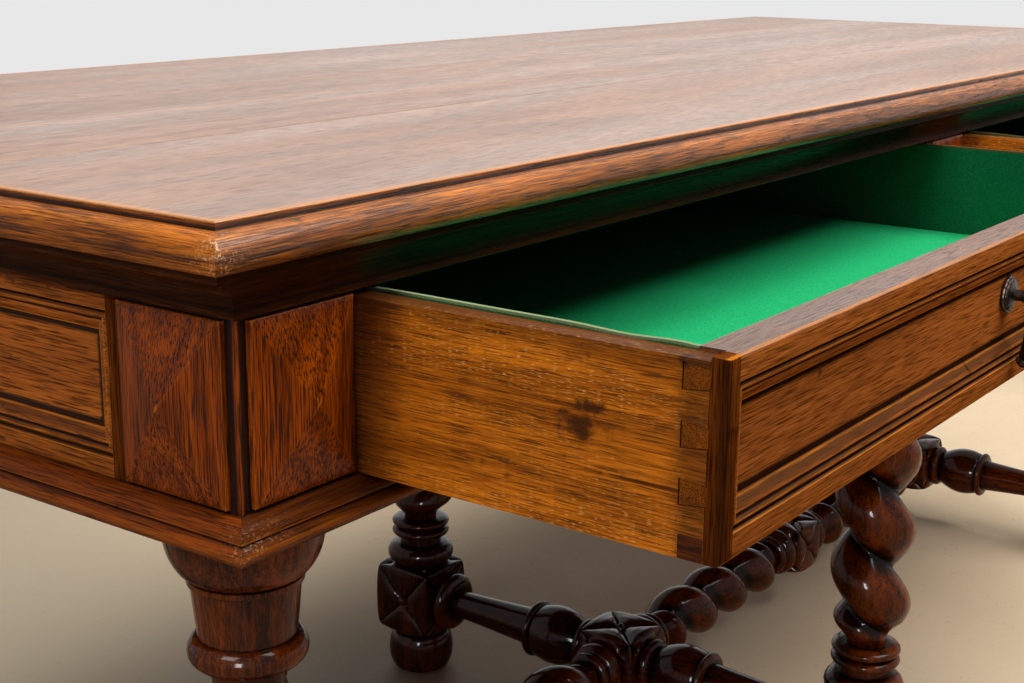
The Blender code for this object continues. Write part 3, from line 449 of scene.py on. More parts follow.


# Oak: slow tone, curved growth figure, fine streaks, dark pores, rubbed edges, dirty corners and small dents,
# and for some kinds painted shade on upward faces and in dark spots.
@cache
def oak(kind, axis):
    look = Settings(plainOak, **oakKinds[kind])
    tree = Tree(f"{kind}_{axis}")

    def noise(key, vector):
        return tree.noise(vector, look[f"{key}Scale"], *noiseShapes[key])

    def spread(value, key, first=0.0, last=1.0):
        return tree.spread(value, *look[f"{key}Range"], first, last)

    def stretched(share):
        return tree.vector("MULTIPLY", place, [share if name == axis else 1.0 for name in "xyz"])

    def knot(y, z, size, scale, rough, share):
        # one inside an ellipsoid with a ragged rim, fading to none outside
        away = tree.vector("DIVIDE", tree.vector("SUBTRACT", still, (knotAndShadeX, y, z)), size)
        ragged = tree.times(tree.noise(still, scale, *noiseShapes["knot"]), rough)
        return spread(tree.plus(tree.vector("LENGTH", away), ragged), "knot", share, 0.0)

    still, amount = tree.place(), tree.attribute("shift")
    shift = tree.node("ShaderNodeCombineXYZ", *[tree.times(amount, factor) for factor in look.shift])
    place = tree.vector("ADD", still, shift.outputs[0])
    fine, broad = stretched(look.fine), stretched(look.broad)
    tone = noise("tone", place)
    turns = tree.times(noise("figure", broad), look.rings)
    if "ringPitch" in look:
        turns = tree.plus(turns, tree.maths("DIVIDE", tree.attribute("ring"), look.ringPitch))
    bands = tree.maths("PINGPONG", turns, 0.5)
    stripe, streak = noise("stripe", fine), noise("streak", fine)
    pores = spread(noise("pore", fine), "pore")
    light = tree.plus(tree.times(bands, look.bandShare), tree.times(stripe, look.stripeShare))
    light = tree.plus(light, tree.times(streak, look.streakShare))
    colour = tree.mix(spread(light, "light"), look.dark, look.pale)
    colour = tree.mix(spread(tone, "tone", 0.0, look.toneShare), colour, look.tone)
    colour = tree.mix(tree.times(pores, look.poreShare), colour, look.pore)
    # painted shade: faces that point upwards, such as moulding tops and the drawer side's top edge, take a
    # darker colour
    if "rimDark" in look:
        normal = tree.node("ShaderNodeNewGeometry").outputs["Normal"]
        upward = tree.node("ShaderNodeSeparateXYZ", normal).outputs["Z"]
        colour = tree.mix(spread(upward, "rim", 0.0, look.rimShare), colour, look.rimDark)
    if "fleck" in look:
        dash = spread(noise("fleck", broad), "fleck", 0.0, look.fleckShare)
        colour = tree.mix(tree.times(dash, spread(noise("row", broad), "row")), colour, look.fleck)
    # knots, and painted shade beside and behind the corner block, darken the colour in spots
    for spot in look.get("knots", ()):
        colour = tree.mix(knot(*spot), colour, look.knotColour)
    wear = tree.attribute("wear")
    ragged = tree.plus(wear, tree.times(tree.minus(streak, 0.5), look.ragged))
    colour = tree.mix(spread(ragged, "wear", 0.0, look.wearShare), colour, look.worn)
    colour = tree.mix(spread(wear, "dirt", 0.0, look.dirtShare), colour, look.dirt)
    if "chip" in look:
        chips = tree.times(spread(noise("chip", place), "chip"), tree.attribute("chip"))
        colour = tree.mix(chips, colour, look.chip)
    dents = spread(noise("dent", place), "dent")
    colour = tree.mix(tree.times(dents, look.dentShare), colour, look.dirt)
    smear = spread(noise("smear", broad), "smear", look.gloss - look.glossLess, look.gloss + look.glossMore)
    tree.shade({"Base Color": colour, "Roughness": tree.plus(smear, tree.times(pores, look.poreGloss)),
                "Specular IOR Level": look.sheen, "Coat Weight": look.coat, "Coat Roughness": look.coatGloss})
    height = tree.minus(tree.times(streak, look.streakHigh), tree.times(pores, look.poreDeep))
    height = tree.minus(height, tree.times(dents, look.dentDeep))
    tree.bump(tree.plus(height, tree.times(tone, look.toneHigh)), look.bump)
    return tree.owner


# Felt: a mat of short fibres from fine noise, worn patches, and a pale backing on the edge.
plainFelt = Settings(
    fibre=(900.0, 4.0, 0.7, 0.8), patches=(7.0, 3.0), fibreRange=(0.3, 0.7), ragged=0.5,
    patchRange=(0.45, 0.75, 0.0, 0.45), edgeRange=(0.45, 0.7), rough=(0.3, 0.7, 0.88, 1.0), sheen=0.05,
    bump=0.0006, dark=(0.005, 0.165, 0.05), pale=(0.013, 0.345, 0.122), patch=(0.013, 0.34, 0.12),
    backing=(0.17, 0.215, 0.105))
# painted shade: the lining's walls take darker copies of the felt than its floor, and all but the left
# drawer's left wall a darker edge too
shadedWallFelt = Settings(plainFelt, dark=(0.001, 0.06, 0.018), pale=(0.003, 0.122, 0.042),
                    patch=(0.004, 0.12, 0.042))
feltKinds = Settings(felt=plainFelt, feltWall=shadedWallFelt,
                     feltFarWall=Settings(shadedWallFelt, backing=(0.085, 0.06, 0.02)))


def feltMaterial(name, look):
    tree = Tree(name)
    place = tree.place()
    fibre, patch = tree.noise(place, *look.fibre), tree.noise(place, *look.patches)
    colour = tree.mix(tree.spread(fibre, *look.fibreRange), look.dark, look.pale)
    colour = tree.mix(tree.spread(patch, *look.patchRange), colour, look.patch)
    edge = tree.plus(tree.attribute("wear"), tree.times(tree.minus(fibre, 0.5), look.ragged))
    colour = tree.mix(tree.spread(edge, *look.edgeRange), colour, look.backing)
    tree.shade({"Base Color": colour, "Roughness": tree.spread(patch, *look.rough),
                "Specular IOR Level": look.sheen})
    tree.bump(fibre, look.bump)
    return tree.owner


# Bronze: dark patina with brighter metal where it is rubbed, and fine casting texture.
bronzeLook = Settings(
    cast=(240.0, 4.0, 0.6), cloud=(60.0, 2.0), cloudRange=(0.35, 0.65), metal=0.85,
    wornRange=(0.3, 0.8, 0.0, 0.7), rough=(0.3, 0.7, 0.26, 0.44), bump=0.0002, dark=(0.018, 0.012, 0.009),
    patina=(0.038, 0.026, 0.018), bright=(0.15, 0.11, 0.075))


def bronzeMaterial(name, look):
    tree = Tree(name)
    place = tree.place()
    cast, cloud = tree.noise(place, *look.cast), tree.noise(place, *look.cloud)
    colour = tree.mix(tree.spread(cloud, *look.cloudRange), look.dark, look.patina)
    worn = tree.plus(tree.attribute("wear"), tree.minus(cast, 0.5))
    colour = tree.mix(tree.spread(worn, *look.wornRange), colour, look.bright)
    tree.shade({"Base Color": colour, "Roughness": tree.spread(cast, *look.rough), "Metallic": look.metal})
    tree.bump(cast, look.bump)
    return tree.owner


felts = {name: feltMaterial(name, look) for name, look in feltKinds.items()}
bronze = bronzeMaterial("bronze", bronzeLook)
print("stage: materials")

# Top: three boards with a rounded edge, a ledge with a quirk and a small upright step up to the flat.
topEdge = Settings(
    endX=0.9399, endY=0.3608, under=0.006, underRound=0.003, reach=0.0115, ledge=0.003, step=0.004,
    arris=0.0012, quirk=0.0006, quirkAt=(0.0012, 0.0002, 0), flatAt=(0.006, 0.02), seam=0.0006,
    seamWide=0.004, seamFall=0.0007, cellsX=60, cellsY=17, chipReach=0.013, chipHigh=0.7665, chipMost=1.1,
    edgeBelow=0.0005, shift=0.31)
endX, endY = topEdge.endX, topEdge.endY
quarter = np.linspace(0, np.pi / 2, 15)
arrisAt = np.linspace(0, np.pi / 2, 6)
roundLow, roundHigh = slabLow + topEdge.under, topZ - topEdge.step
stepAt = topEdge.reach + topEdge.ledge
topInset = np.r_[topEdge.reach * (1 - np.cos(quarter)), stepAt - np.array(topEdge.quirkAt),
                 stepAt + topEdge.arris * (1 - np.cos(arrisAt)), stepAt + np.array(topEdge.flatAt)]
topLevel = np.r_[roundLow + (roundHigh - roundLow) * np.sin(quarter),
                 [roundHigh, roundHigh - topEdge.quirk, roundHigh],
                 topZ - topEdge.arris * (1 - np.sin(arrisAt)), [topZ] * 2]
topWear = np.r_[np.interp(quarter, [0, 0.4, 1.0, 1.571], [-0.55, 0.0, 0.5, 0.1]), [-0.7, -1.0, -0.9],
                np.interp(arrisAt, [0, 0.5, 1.571], [-0.2, 0.9, 1.0]), [0.35, 0.0]]
seamInset = np.array([0.0, topEdge.seam, topEdge.seamWide])
boardWide = 2 * endY / 3


def topBoard(index):
    v0 = index * boardWide - endY
    deep = len(topInset) - 1
    u, stepU = profileLines(2 * endX, topInset, topInset, topEdge.cellsX)
    start, end = topInset if index == 0 else seamInset, topInset if index == 2 else seamInset
    v = profileLines(boardWide, start, end, topEdge.cellsY)[0]
    stepV, fall = np.full(len(v), deep), np.zeros(len(v))
    if index == 0:
        stepV[:len(start)] = np.arange(len(start))
    else:
        fall[0] = topEdge.seamFall
    if index == 2:
        stepV[-len(end):] = np.arange(len(end))[::-1]
    else:
        fall[-1] = topEdge.seamFall
    step = np.minimum(stepU[:, None], stepV[None, :]).astype(int)
    level = topLevel[step] - np.where(step >= deep - 2, fall, 0)
    wear = np.where(fall > 0, np.minimum(topWear[step], -0.5), topWear[step])
    gridU, gridV = np.meshgrid(u, v, indexing="ij")
    across = gridV + v0 + endY
    rim = np.minimum(np.minimum(gridU, 2 * endX - gridU), np.minimum(across, 2 * endY - across))
    swing = np.sqrt(np.clip(1 - (rim / topEdge.underRound - 1) ** 2, 0, 1))
    low = slabLow + topEdge.under * np.where(rim < topEdge.underRound, 1 - swing, 0)
    return moved(sheetShell(u, v, level, np.minimum(low, level), wear), (-endX, v0 + tableY, 0))


def cornerChips(place, cornerX, cornerY, reach):
    # one at the corners, falling off along the edges
    away = np.hypot(np.abs(place[:, 0]) - cornerX, np.abs(place[:, 1] - tableY) - cornerY)
    return np.clip(topEdge.chipMost * np.exp(-(away / reach) ** 2), 0, 1)


def topChips(place):
    return cornerChips(place, endX, endY, topEdge.chipReach) * (place[:, 2] < topEdge.chipHigh)


def onEdge(middle):
    return middle[:, 2] < topZ - topEdge.edgeBelow


def onEndEdge(middle):
    # the edge at both ends, as far as the mitre with the long edges
    fromEnd = endX - np.abs(middle[:, 0])
    return onEdge(middle) & (fromEnd < stepAt) & (fromEnd < endY - np.abs(middle[:, 1] - tableY))


edges = (oak("edgeOak", "x"), onEdge), (oak("edgeEndOak", "y"), onEndEdge)
for index, label in enumerate(("front", "middle", "back")):
    addFixed(f"top_board_{label}", [topBoard(index)], "topOak", "x", "top_oak", shift=topEdge.shift * index,
             marks=(("chip", topChips),), others=edges)
print("stage: top")

# Cornice: a fillet, a hollow and a fillet under the top.
# Base moulding: a rounded nose, a groove and a sloping hollow.
cornice = Settings(high=0.7474, fillet=0.005, reachEnd=0.0289, reachLong=0.0198, round=0.0008, quirk=0.0006)
base = Settings(reach=0.0166, nose=0.0105, quirk=0.004, groove=0.0008, grooveLow=0.0002, grooveHigh=0.001)
moulding = Settings(chipShare=0.7, chipReach=0.01, longShift=0.17, endShift=0.23)


def corniceOutline(reach):
    fillet, soft, quirk, high = cornice.fillet, cornice.round, cornice.quirk, cornice.high
    a = np.linspace(0, np.pi / 2, 15)
    hollowLow, hollowHigh = corniceLow + fillet, high - fillet
    out = np.r_[[0, fillet - soft, fillet], fillet + (reach - fillet) * (1 - np.cos(a)) - quirk,
                [reach, reach, reach - soft, 0]]
    level = np.r_[[corniceLow, corniceLow, corniceLow + soft],
                  hollowLow + (hollowHigh - hollowLow) * np.sin(a),
                  [hollowHigh + quirk, high - soft, high, high]]
    wear = np.r_[[0, 0.2, 0.3, -0.6], np.zeros(13), [-0.7, 0.2, 0.1, 0.0, 0.0]]
    return out, level, wear


def baseOutline():
    a = np.linspace(0, np.pi, 15)
    b = np.linspace(0, np.pi / 2, 12)[1:]
    noseHigh = baseLow + base.nose
    shelf, shelfHigh = base.reach - base.quirk, noseHigh + base.grooveHigh
    out = np.r_[[0], base.reach - base.quirk * (1 - np.sin(a)), [shelf - base.groove, shelf],
                shelf * np.cos(b)]
    level = np.r_[[baseLow], baseLow + base.nose * a / np.pi, [noseHigh + base.grooveLow, shelfHigh],
                  shelfHigh + (apronLow - shelfHigh) * np.sin(b)]
    wear = np.r_[[0], np.interp(a, [0, 0.8, 1.9, 3.15], [0.1, 0.5, 0.75, -0.6]), [-1.0, 0.75],
                 np.interp(b, [0, 0.3, 1.2, 1.58], [0.6, 0.1, 0.0, -0.6])]
    return out, level, wear


def addMouldings(node, endKind, longKind, endOutline, longOutline):
    ends, longs = endOutline[0], longOutline[0]
    corner = halfX + ends.max(), halfY + longs.max()
    chipped = (("chip", lambda place: moulding.chipShare * cornerChips(place, *corner, moulding.chipReach)),)
    for runs, kind, axis, outline, endOut, half, across, shift in (
            (rows, longKind, "x", longOutline, ends, halfX, halfY, moulding.longShift),
            (sides, endKind, "y", endOutline, longs, halfY, halfX, moulding.endShift)):
        for sign, label in runs:
            shell = mouldingShell(outline, endOut, half, across, axis, sign)
            addFixed(f"{node}_{label}", [shell], kind, axis, shift=shift * sign, marks=chipped)


addMouldings("cornice", "corniceEndOak", "corniceOak", corniceOutline(cornice.reachEnd),
             corniceOutline(cornice.reachLong))
addMouldings("base_moulding", "baseOak", "baseLongOak", baseOutline(), baseOutline())
print("stage: mouldings")

# Corner and centre blocks: a post with rounded edges and a raised pyramid on every outside face.
pyramid = Settings(
    bead=0.007, side=0.001, margin=0.002, edge=0.0035, rise=0.01, root=0.002, cells=22, soft=0.0005,
    softSpan=0.012, ridge=0.035, ridgeWear=0.42, edgeWear=0.4, tipFrom=0.93, tipSpan=0.07,
    cornerRound=0.0045, centreRound=0.002, angle=14.0, foot=(0, 0, 0.012), start=0.03, blunt=0.03,
    bluntPower=8, rim=0.02, postWear=(2, 0.7))
pith = Settings(lean=0.04, level=0.67, outX=1.02, inY=0.98, centreX=0.012)
facing = Settings(front=((1, 0, 0), (0, 1, 0), (0, 0, 1)), back=((-1, 0, 0), (0, -1, 0), (0, 0, 1)),
                  left=((0, -1, 0), (1, 0, 0), (0, 0, 1)), right=((0, 1, 0), (-1, 0, 0), (0, 0, 1)))
pyramidHalf = (post - pyramid.bead - pyramid.side) / 2
inset = pyramid.bead + pyramidHalf


def pyramidShell(axes, x, y):
    tall = (corniceLow - apronLow) / 2 - pyramid.margin
    t = np.r_[pyramid.foot, np.linspace(pyramid.start, 1, pyramid.cells)]
    share = np.r_[t, t[-2::-1]]
    line = np.r_[t - 1, 1 - t[-2::-1]]
    level = np.minimum(share[:, None], share[None, :])
    soft = pyramid.soft * np.exp(-level / pyramid.softSpan)
    blunted = level - pyramid.blunt * level ** pyramid.bluntPower
    front = -(pyramid.edge - soft + pyramid.rise * blunted)
    ridge = np.exp(-((share[:, None] - share[None, :]) / pyramid.ridge) ** 2) * pyramid.ridgeWear
    tip = np.clip((level - pyramid.tipFrom) / pyramid.tipSpan, 0, 1)
    wear = ridge + pyramid.edgeWear * ((level < pyramid.rim) + tip)
    shell = turnedTo(sheetShell(line * pyramidHalf, line * tall, front, pyramid.root, wear), upright)
    return turnedTo(shell, axes, (x, y, (corniceLow + apronLow) / 2))


def postShell(xs, ys, radius):
    points, quads, wear = roundedBox((min(xs), min(ys), baseLow), (max(xs), max(ys), blockHigh), radius)
    return points, quads, rubbed(wear, *pyramid.postWear)


def ringsAbout(x, y):
    # distance from the pith, which leans a little
    def distance(place):
        return np.hypot(place[:, 0] - x - pith.lean * (place[:, 2] - pith.level), place[:, 1] - y)

    return (("ring", distance),)


for signY, row in rows:
    faceY = signY * halfY + tableY
    ys = faceY, signY * (halfY - post) + tableY
    for signX, column in sides:
        shells = [postShell((signX * halfX, signX * (halfX - post)), ys, pyramid.cornerRound),
                  pyramidShell(facing[row], signX * (halfX - inset), faceY),
                  pyramidShell(facing[column], signX * halfX, signY * (halfY - inset) + tableY)]
        addFixed(f"corner_block_{row}_{column}", shells, "blockOak", "z", angle=pyramid.angle,
                 marks=ringsAbout(signX * legX * pith.outX, signY * legY * pith.inY + tableY))
    shells = [postShell((-post / 2, post / 2), ys, pyramid.centreRound), pyramidShell(facing[row], 0, faceY)]
    addFixed(f"centre_block_{row}", shells, "blockOak", "z", angle=pyramid.angle,
             marks=ringsAbout(pith.centreX, signY * legY + tableY))
print("stage: blocks")

# Sunk fields: an arris, a bead between two quirks, a hollow and a fillet, mitred round a flat field.
# Inset and depth of each step: the bead is half a sine wave and the hollow a quarter of a cosine wave.
wave = np.linspace(0, 1, 9)
mouldInset = np.r_[[0, 0.0004, 0.0012, 0.0017], 0.0022 + 0.0036 * wave, [0.0063, 0.0068],
                   0.007 + 0.0062 * wave, [0.0136, 0.014, 0.0155, 0.019]]
mouldDepth = np.r_[[0, 0.0002, 0.0022, 0.0026], 0.0022 - 0.0011 * np.sin(np.pi * wave), [0.003, 0.0032],
                   0.003 + 0.0036 * (1 - np.cos(np.pi * wave / 2)), [0.0066, 0.0078, 0.008, 0.008]]
beadWear = np.interp(wave, [0, 0.3, 0.5, 0.8, 1], [-0.6, 0.4, 0.6, 0.2, -0.6])
hollowWear = np.interp(wave, [0, 0.3, 0.8, 1], [-0.2, 0.0, 0.1, 0.7])
mouldWear = np.r_[[0.3, 0.9, -0.9, -1.0], beadWear, [-1.0, -0.9], hollowWear, [0.7, -1.0, -0.9, 0.0]]
panel = Settings(stile=0.011, rail=0.0095, thick=0.022, angle=20.0, cellsU=40, cellsV=8, sideWear=-0.5,
                 endShift=0.4, backShift=0.6)


def fieldShell(width, tall, edges, edgeDepth, edgeWear, thick, cuts=()):
    # edges lists, for sides, bottom and top, the insets of the rounding and of the flat before the moulding
    side, low, high = (np.r_[edge[:-1], edge[-1] + mouldInset] for edge in edges)
    u, stepU = profileLines(width, side, side, panel.cellsU)
    v, stepV = profileLines(tall, low, high, panel.cellsV)
    for cut in cuts:
        at, mid = np.searchsorted(u, cut), np.interp(cut, u, stepU)
        u, stepU = np.insert(u, at, [cut, cut]), np.insert(stepU, at, [mid, mid])
    stepU = stepU[:, None]
    step = np.minimum(stepU, stepV)
    number = np.arange(len(edgeDepth) + len(mouldDepth))
    front = np.interp(step, number, np.r_[edgeDepth, mouldDepth])
    wear = np.interp(step, number, np.r_[edgeWear, mouldWear])
    wear = np.where((stepU < stepV) & (stepU < len(edgeDepth)), panel.sideWear, wear)
    return sheetShell(u, v, front, thick(u), wear)


def panelShell(width, axes, offset):
    below, above = apronLow - baseLow + panel.rail, blockHigh - corniceLow + panel.rail
    edges = [np.array([0, reach]) for reach in (panel.stile, below, above)]
    shell = fieldShell(width, blockHigh - baseLow, edges, [0.0], [0.0], lambda u: panel.thick)
    return turnedTo(turnedTo(shell, upright, (-width / 2, 0, baseLow)), axes, offset)


def stiles(axis, middleAt, reach):
    # upright grain on what is further than reach from the middle
    return oak("stileOak", "z"), lambda middle: np.abs(middle[:, axis] - middleAt) > reach


endWide = 2 * (halfY - post - gap)
backWide = halfX - 1.5 * post - 2 * gap
for signX, label in sides:
    shell = panelShell(endWide, facing[label], (signX * halfX, tableY, 0))
    addFixed(f"end_panel_{label}", [shell], "panelOak", "y", shift=panel.endShift * signX,
             angle=panel.angle, others=(stiles(1, tableY, endWide / 2 - panel.stile),))
for signX, label in sides:
    bayX = signX * (halfX / 2 - post / 4)
    shell = panelShell(backWide, facing.back, (bayX, halfY + tableY, 0))
    addFixed(f"back_panel_{label}", [shell], "panelOak", "x", shift=panel.backShift * signX,
             angle=panel.angle, others=(stiles(0, bayX, backWide / 2 - panel.stile),))
print("stage: panels")

# Legs: bun foot, square block with petals, torus, two rings, twist, ring, neck, cap and tenon.
leg = Settings(foot=[("bead", 0.05, 0.028, 0.04, 0.031), ("cone", 0.006, 0.031, 0, 0.031)],
               lower=[("cone", 0.004, 0.029, 0, 0.029), ("bead", 0.026, 0.027, 0.0405, 0.026),
                      ("cone", 0.009, 0.025, 0, 0.025), ("bead", 0.012, 0.0255, 0.035, 0.0255),
                      ("bead", 0.012, 0.0255, 0.035, 0.0215)],
               upper=[("cone", 0.008, 0.0205, 0, 0.0205), ("bead", 0.018, 0.021, 0.0328, 0.026),
                      ("cone", 0.03, 0.027, 0, 0.0298)], block=0.0825, blockLow=0.054, blockHigh=0.141,
               petalDepth=0.008, sunk=0.004, core=0.0195, bulge=0.0215, pitch=0.0775, twistLow=0.2,
               twistHigh=0.5077, capLow=0.5637, capHigh=0.5997, rimLow=0.599, tenonHigh=0.655, angle=50.0)


def capRuns():
    # fillet, quarter of an ellipse swelling out to the cap's rim, then the rounded rim and the tenon
    a = np.linspace(0, np.pi / 2, 14)
    low, high = leg.capLow, leg.capHigh
    return ((low + np.array([0, 0.0006, 0.0034, 0.004, 0.0046]), [0.0306, 0.0315, 0.0315, 0.0306, 0.0312],
             [-0.7, 0.5, 0.4, -0.8, -0.5]),
            (low + 0.005 + 0.025 * (1 - np.cos(a)), 0.0318 + 0.0112 * np.sin(a) ** 1.5,
             np.interp(a, [0, 0.3, 1.58], [0.2, 0.0, 0.1])),
            ([leg.rimLow, high, high, leg.tenonHigh], [0.043, 0.042, 0.02, 0.02], [0.2, 0, 0, 0]))


def legShells(hand):
    upper = turnedShell(turnedOutline(leg.lower, leg.blockHigh - leg.sunk),
                        twistRings(leg.twistLow, leg.twistHigh, leg, hand),
                        turnedOutline(leg.upper, leg.twistHigh), *capRuns())
    half = leg.block / 2
    block = petalBlock((-half, -half, leg.blockLow), (half, half, leg.blockHigh), leg.petalDepth, (2,))
    return turnedShell(turnedOutline(leg.foot)), upper, block


def addTurned(node, shells, axis):
    addFixed(node, shells, "turnedOak", axis, "turned_oak", angle=leg.angle)


for signY, row in rows:
    shells = legShells(signY)
    for x, column in columns:
        place = (x, signY * legY + tableY, 0)
        addTurned(f"leg_{row}_{column}", [moved(shell, place) for shell in shells], "z")
print("stage: legs")

# Stretchers: turned arms from the crossing blocks to the legs, and two twisted rails with a middle block.
stretcher = Settings(arm=[("cone", 0.004, 0.024, 0, 0.024), ("bead", 0.014, 0.021, 0.03, 0.0215),
                          ("vase", 0.058, 0.0235, 0.0345, 0.0295), ("bead", 0.01, 0.026, 0.033, 0.023)],
                     disc=[("bead", 0.02, 0.0165, 0.035, 0.024), ("cone", 0.012, 0.011, 0, 0.011)],
                     collar=[("cone", 0.004, 0.02, 0, 0.02), ("bead", 0.022, 0.02, 0.031, 0.02),
                             ("bead", 0.012, 0.019, 0.026, 0.017)], level=0.0975, cross=0.0752, mid=0.066,
                     core=0.016, bulge=0.019, pitch=0.077, petalDepth=0.009, sunk=0.004, discLong=0.02,
                     cone=(0.023, 0.007, 0.8), tenon=(0.0042, 0.016), tenonRound=0.011)
alongY = ((1, 0, 0), (0, 0, -1), (0, 1, 0))
alongX = ((0, 1, 0), (0, 0, 1), (1, 0, 0))
crossHalf, midHalf = stretcher.cross / 2, stretcher.mid / 2
armHigh = legY - leg.block / 2 - gap - stretcher.discLong
armRun = turnedOutline(stretcher.arm, crossHalf - stretcher.sunk)
coneWide, coneFall, coneCurve = stretcher.cone
coneSteps = np.linspace(0, 1, 16)
armEnd = armRun[0][-1]
coneRun = (armEnd + (armHigh - armEnd) * coneSteps, coneWide - coneFall * coneSteps ** coneCurve,
           np.interp(coneSteps, [0, 0.2, 1], [-0.5, 0, 0]))
arm = turnedShell(armRun, coneRun, turnedOutline(stretcher.disc, armHigh))
otherArm = turnedTo(arm, ((1, 0, 0), (0, 1, 0), (0, 0, -1)))


def addStretcher(node, axis, axes, x, turned, half, plain):
    place = (x, tableY, stretcher.level)
    block = petalBlock((-half,) * 3, (half,) * 3, stretcher.petalDepth, plain)
    addTurned(node, [*(turnedTo(shell, axes, place) for shell in turned), moved(block, place)], axis)


for x, column in columns:
    addStretcher(f"cross_stretcher_{column}", "y", alongY, x, (arm, otherArm), crossHalf, (0, 1))
collar, collarRadius, collarWear = turnedOutline(stretcher.collar)
collarLong = collar[-1] - stretcher.sunk
railHalf = legX / 2 - crossHalf - gap


def ropeShell(first):
    # collar, twist and the collar mirrored, from the middle block out to the tenon
    end = np.minimum((railHalf + stretcher.sunk - collar)[::-1], railHalf)
    tenon = railHalf + np.array(stretcher.tenon)
    return turnedShell((midHalf - stretcher.sunk + collar, collarRadius, collarWear),
                       twistRings(midHalf + collarLong, railHalf - collarLong, stretcher, 1, first),
                       (end, collarRadius[::-1], collarWear[::-1]), (tenon, stretcher.tenonRound, 0.0))


ropeTurn = turning.first + 2 * math.pi * (railHalf - midHalf - 2 * collarLong) / stretcher.pitch
ropes = ropeShell(ropeTurn), turnedTo(ropeShell(-ropeTurn - math.pi), ((-1, 0, 0), (0, 1, 0), (0, 0, -1)))
for signX, label in sides:
    addStretcher(f"long_stretcher_{label}", "x", alongX, signX * legX / 2, ropes, midHalf, (0,))
print("stage: stretchers")

# Drawers: a moulded front with dovetail pins at both ends; sides, back and bottom keep the frame's shapes.
drawer = Settings(
    wide=0.77975, high=0.0975, front=0.022, side=0.014, sideHigh=0.0955, lap=0.008, border=0.0125, pins=3,
    pinNarrow=0.009, pinWide=0.0125, pinLow=0.026, pinHigh=0.0025, sunk=0.001, deep=0.56, grooveTop=0.0176,
    back=0.012, softSide=0.0045, softEdge=0.0014, softDeep=0.0022, angle=20.0, shift=0.9)
softAngle = np.linspace(0, np.pi / 2, 6)
softShare = 1 - np.cos(softAngle)
softDepth = drawer.softDeep * (1 - np.sin(softAngle))
softWear = np.array([0.25, 0.5, 0.7, 0.8, 0.7, 0.3])


def frontShell(origin):
    wide, rebate = drawer.wide, drawer.side + gap
    cuts = rebate, wide - rebate

    def thick(u):
        # the lap at both ends, behind the doubled lines at the two cuts
        depth = np.full((len(u), 1), drawer.lap)
        first, last = (np.flatnonzero(np.isclose(u, cut))[1] for cut in cuts)
        depth[first:last] = drawer.front
        return depth

    side, edge = (np.append(drawer[key] * softShare, drawer.border) for key in ("softSide", "softEdge"))
    shell = fieldShell(wide, drawer.high, (side, edge, edge), softDepth, softWear, thick, cuts)
    return turnedTo(shell, upright, np.add(origin, (-wide / 2, 0, 0)))


def pinShells(origin):
    # wedge through the thickness of the side: narrow in front and wide behind
    first = drawer.pinLow + drawer.pinWide / 2
    last = drawer.sideHigh - drawer.pinHigh - drawer.pinWide / 2
    ys = np.array([drawer.lap - drawer.sunk, drawer.front - gap])
    halves = np.array([drawer.pinNarrow, drawer.pinWide]) / 2
    shells = []
    for sign in (-1, 1):
        xs = [sign * (drawer.wide / 2 - inward) for inward in (gap, drawer.side + drawer.sunk)]
        for middle in np.linspace(first, last, drawer.pins):
            ring = np.stack([ys[[0, 1, 1, 0]], middle + halves[[0, 1, 1, 0]] * (-1, -1, 1, 1)], -1)
            points = np.stack([np.concatenate([np.full((4, 1), x), ring], 1) for x in xs])
            shells.append(gridShell(points + np.asarray(origin), 0.0, wrap=True))
    return shells


# Repair: a dark block let into the lower front corner of a drawer's left side, a little proud of it.
repair = Settings(long=0.013, tall=0.0115, proud=0.0005, sunk=0.0006, behind=0.0006, above=0.0004,
                  round=0.0005, cells=4)


def repairShell(origin):
    outer = origin[0] - drawer.wide / 2
    start, low = origin[1] + drawer.lap + repair.behind, origin[2] + repair.above
    corner = outer + repair.sunk, start + repair.long, low + repair.tall
    return roundedBox((outer - repair.proud, start, low), corner, repair.round, repair.cells)


# Lining: thin sheets of felt, a little wavy, on the bottom and the four walls.
lining = Settings(
    thick=0.0024, rise=0.0017, wobble=0.0005, gap=0.0004, waves=5, above=0.0001, aside=0.0002,
    frontFall=0.0045, backFall=0.0125, cells=(61, 25), angle=60.0, turns=(4, 22), phase=6.3,
    ragged=(61, 3, 23), floorSeed=3, sideSeed=5, endSeed=9)


def feltSheet(long, tall, seed, edge):
    generator = np.random.default_rng(seed)
    u, v = (np.linspace(0, size, count) for size, count in zip((long, tall), lining.cells))
    gridU, gridV = np.meshgrid(u, v, indexing="ij")
    ripple = np.zeros(gridU.shape)
    for _ in range(lining.waves):
        turn = generator.uniform(*lining.turns, 2)
        angle = gridU * turn[0] + gridV * turn[1] + generator.uniform(0, lining.phase)
        ripple += np.sin(angle) / lining.waves
    near = lining.wobble * (0.5 + 0.5 * ripple) + lining.thick
    fast, bend, slow = lining.ragged
    ragged = edge * lining.wobble * np.sin(gridU * fast + bend * np.sin(gridU * slow)) * gridV / tall
    marks = edge * np.clip((gridV - tall + lining.wobble) / lining.wobble, 0, 1)
    return sheetShell(gridU, gridV + ragged, near, 0.0, marks, marks)


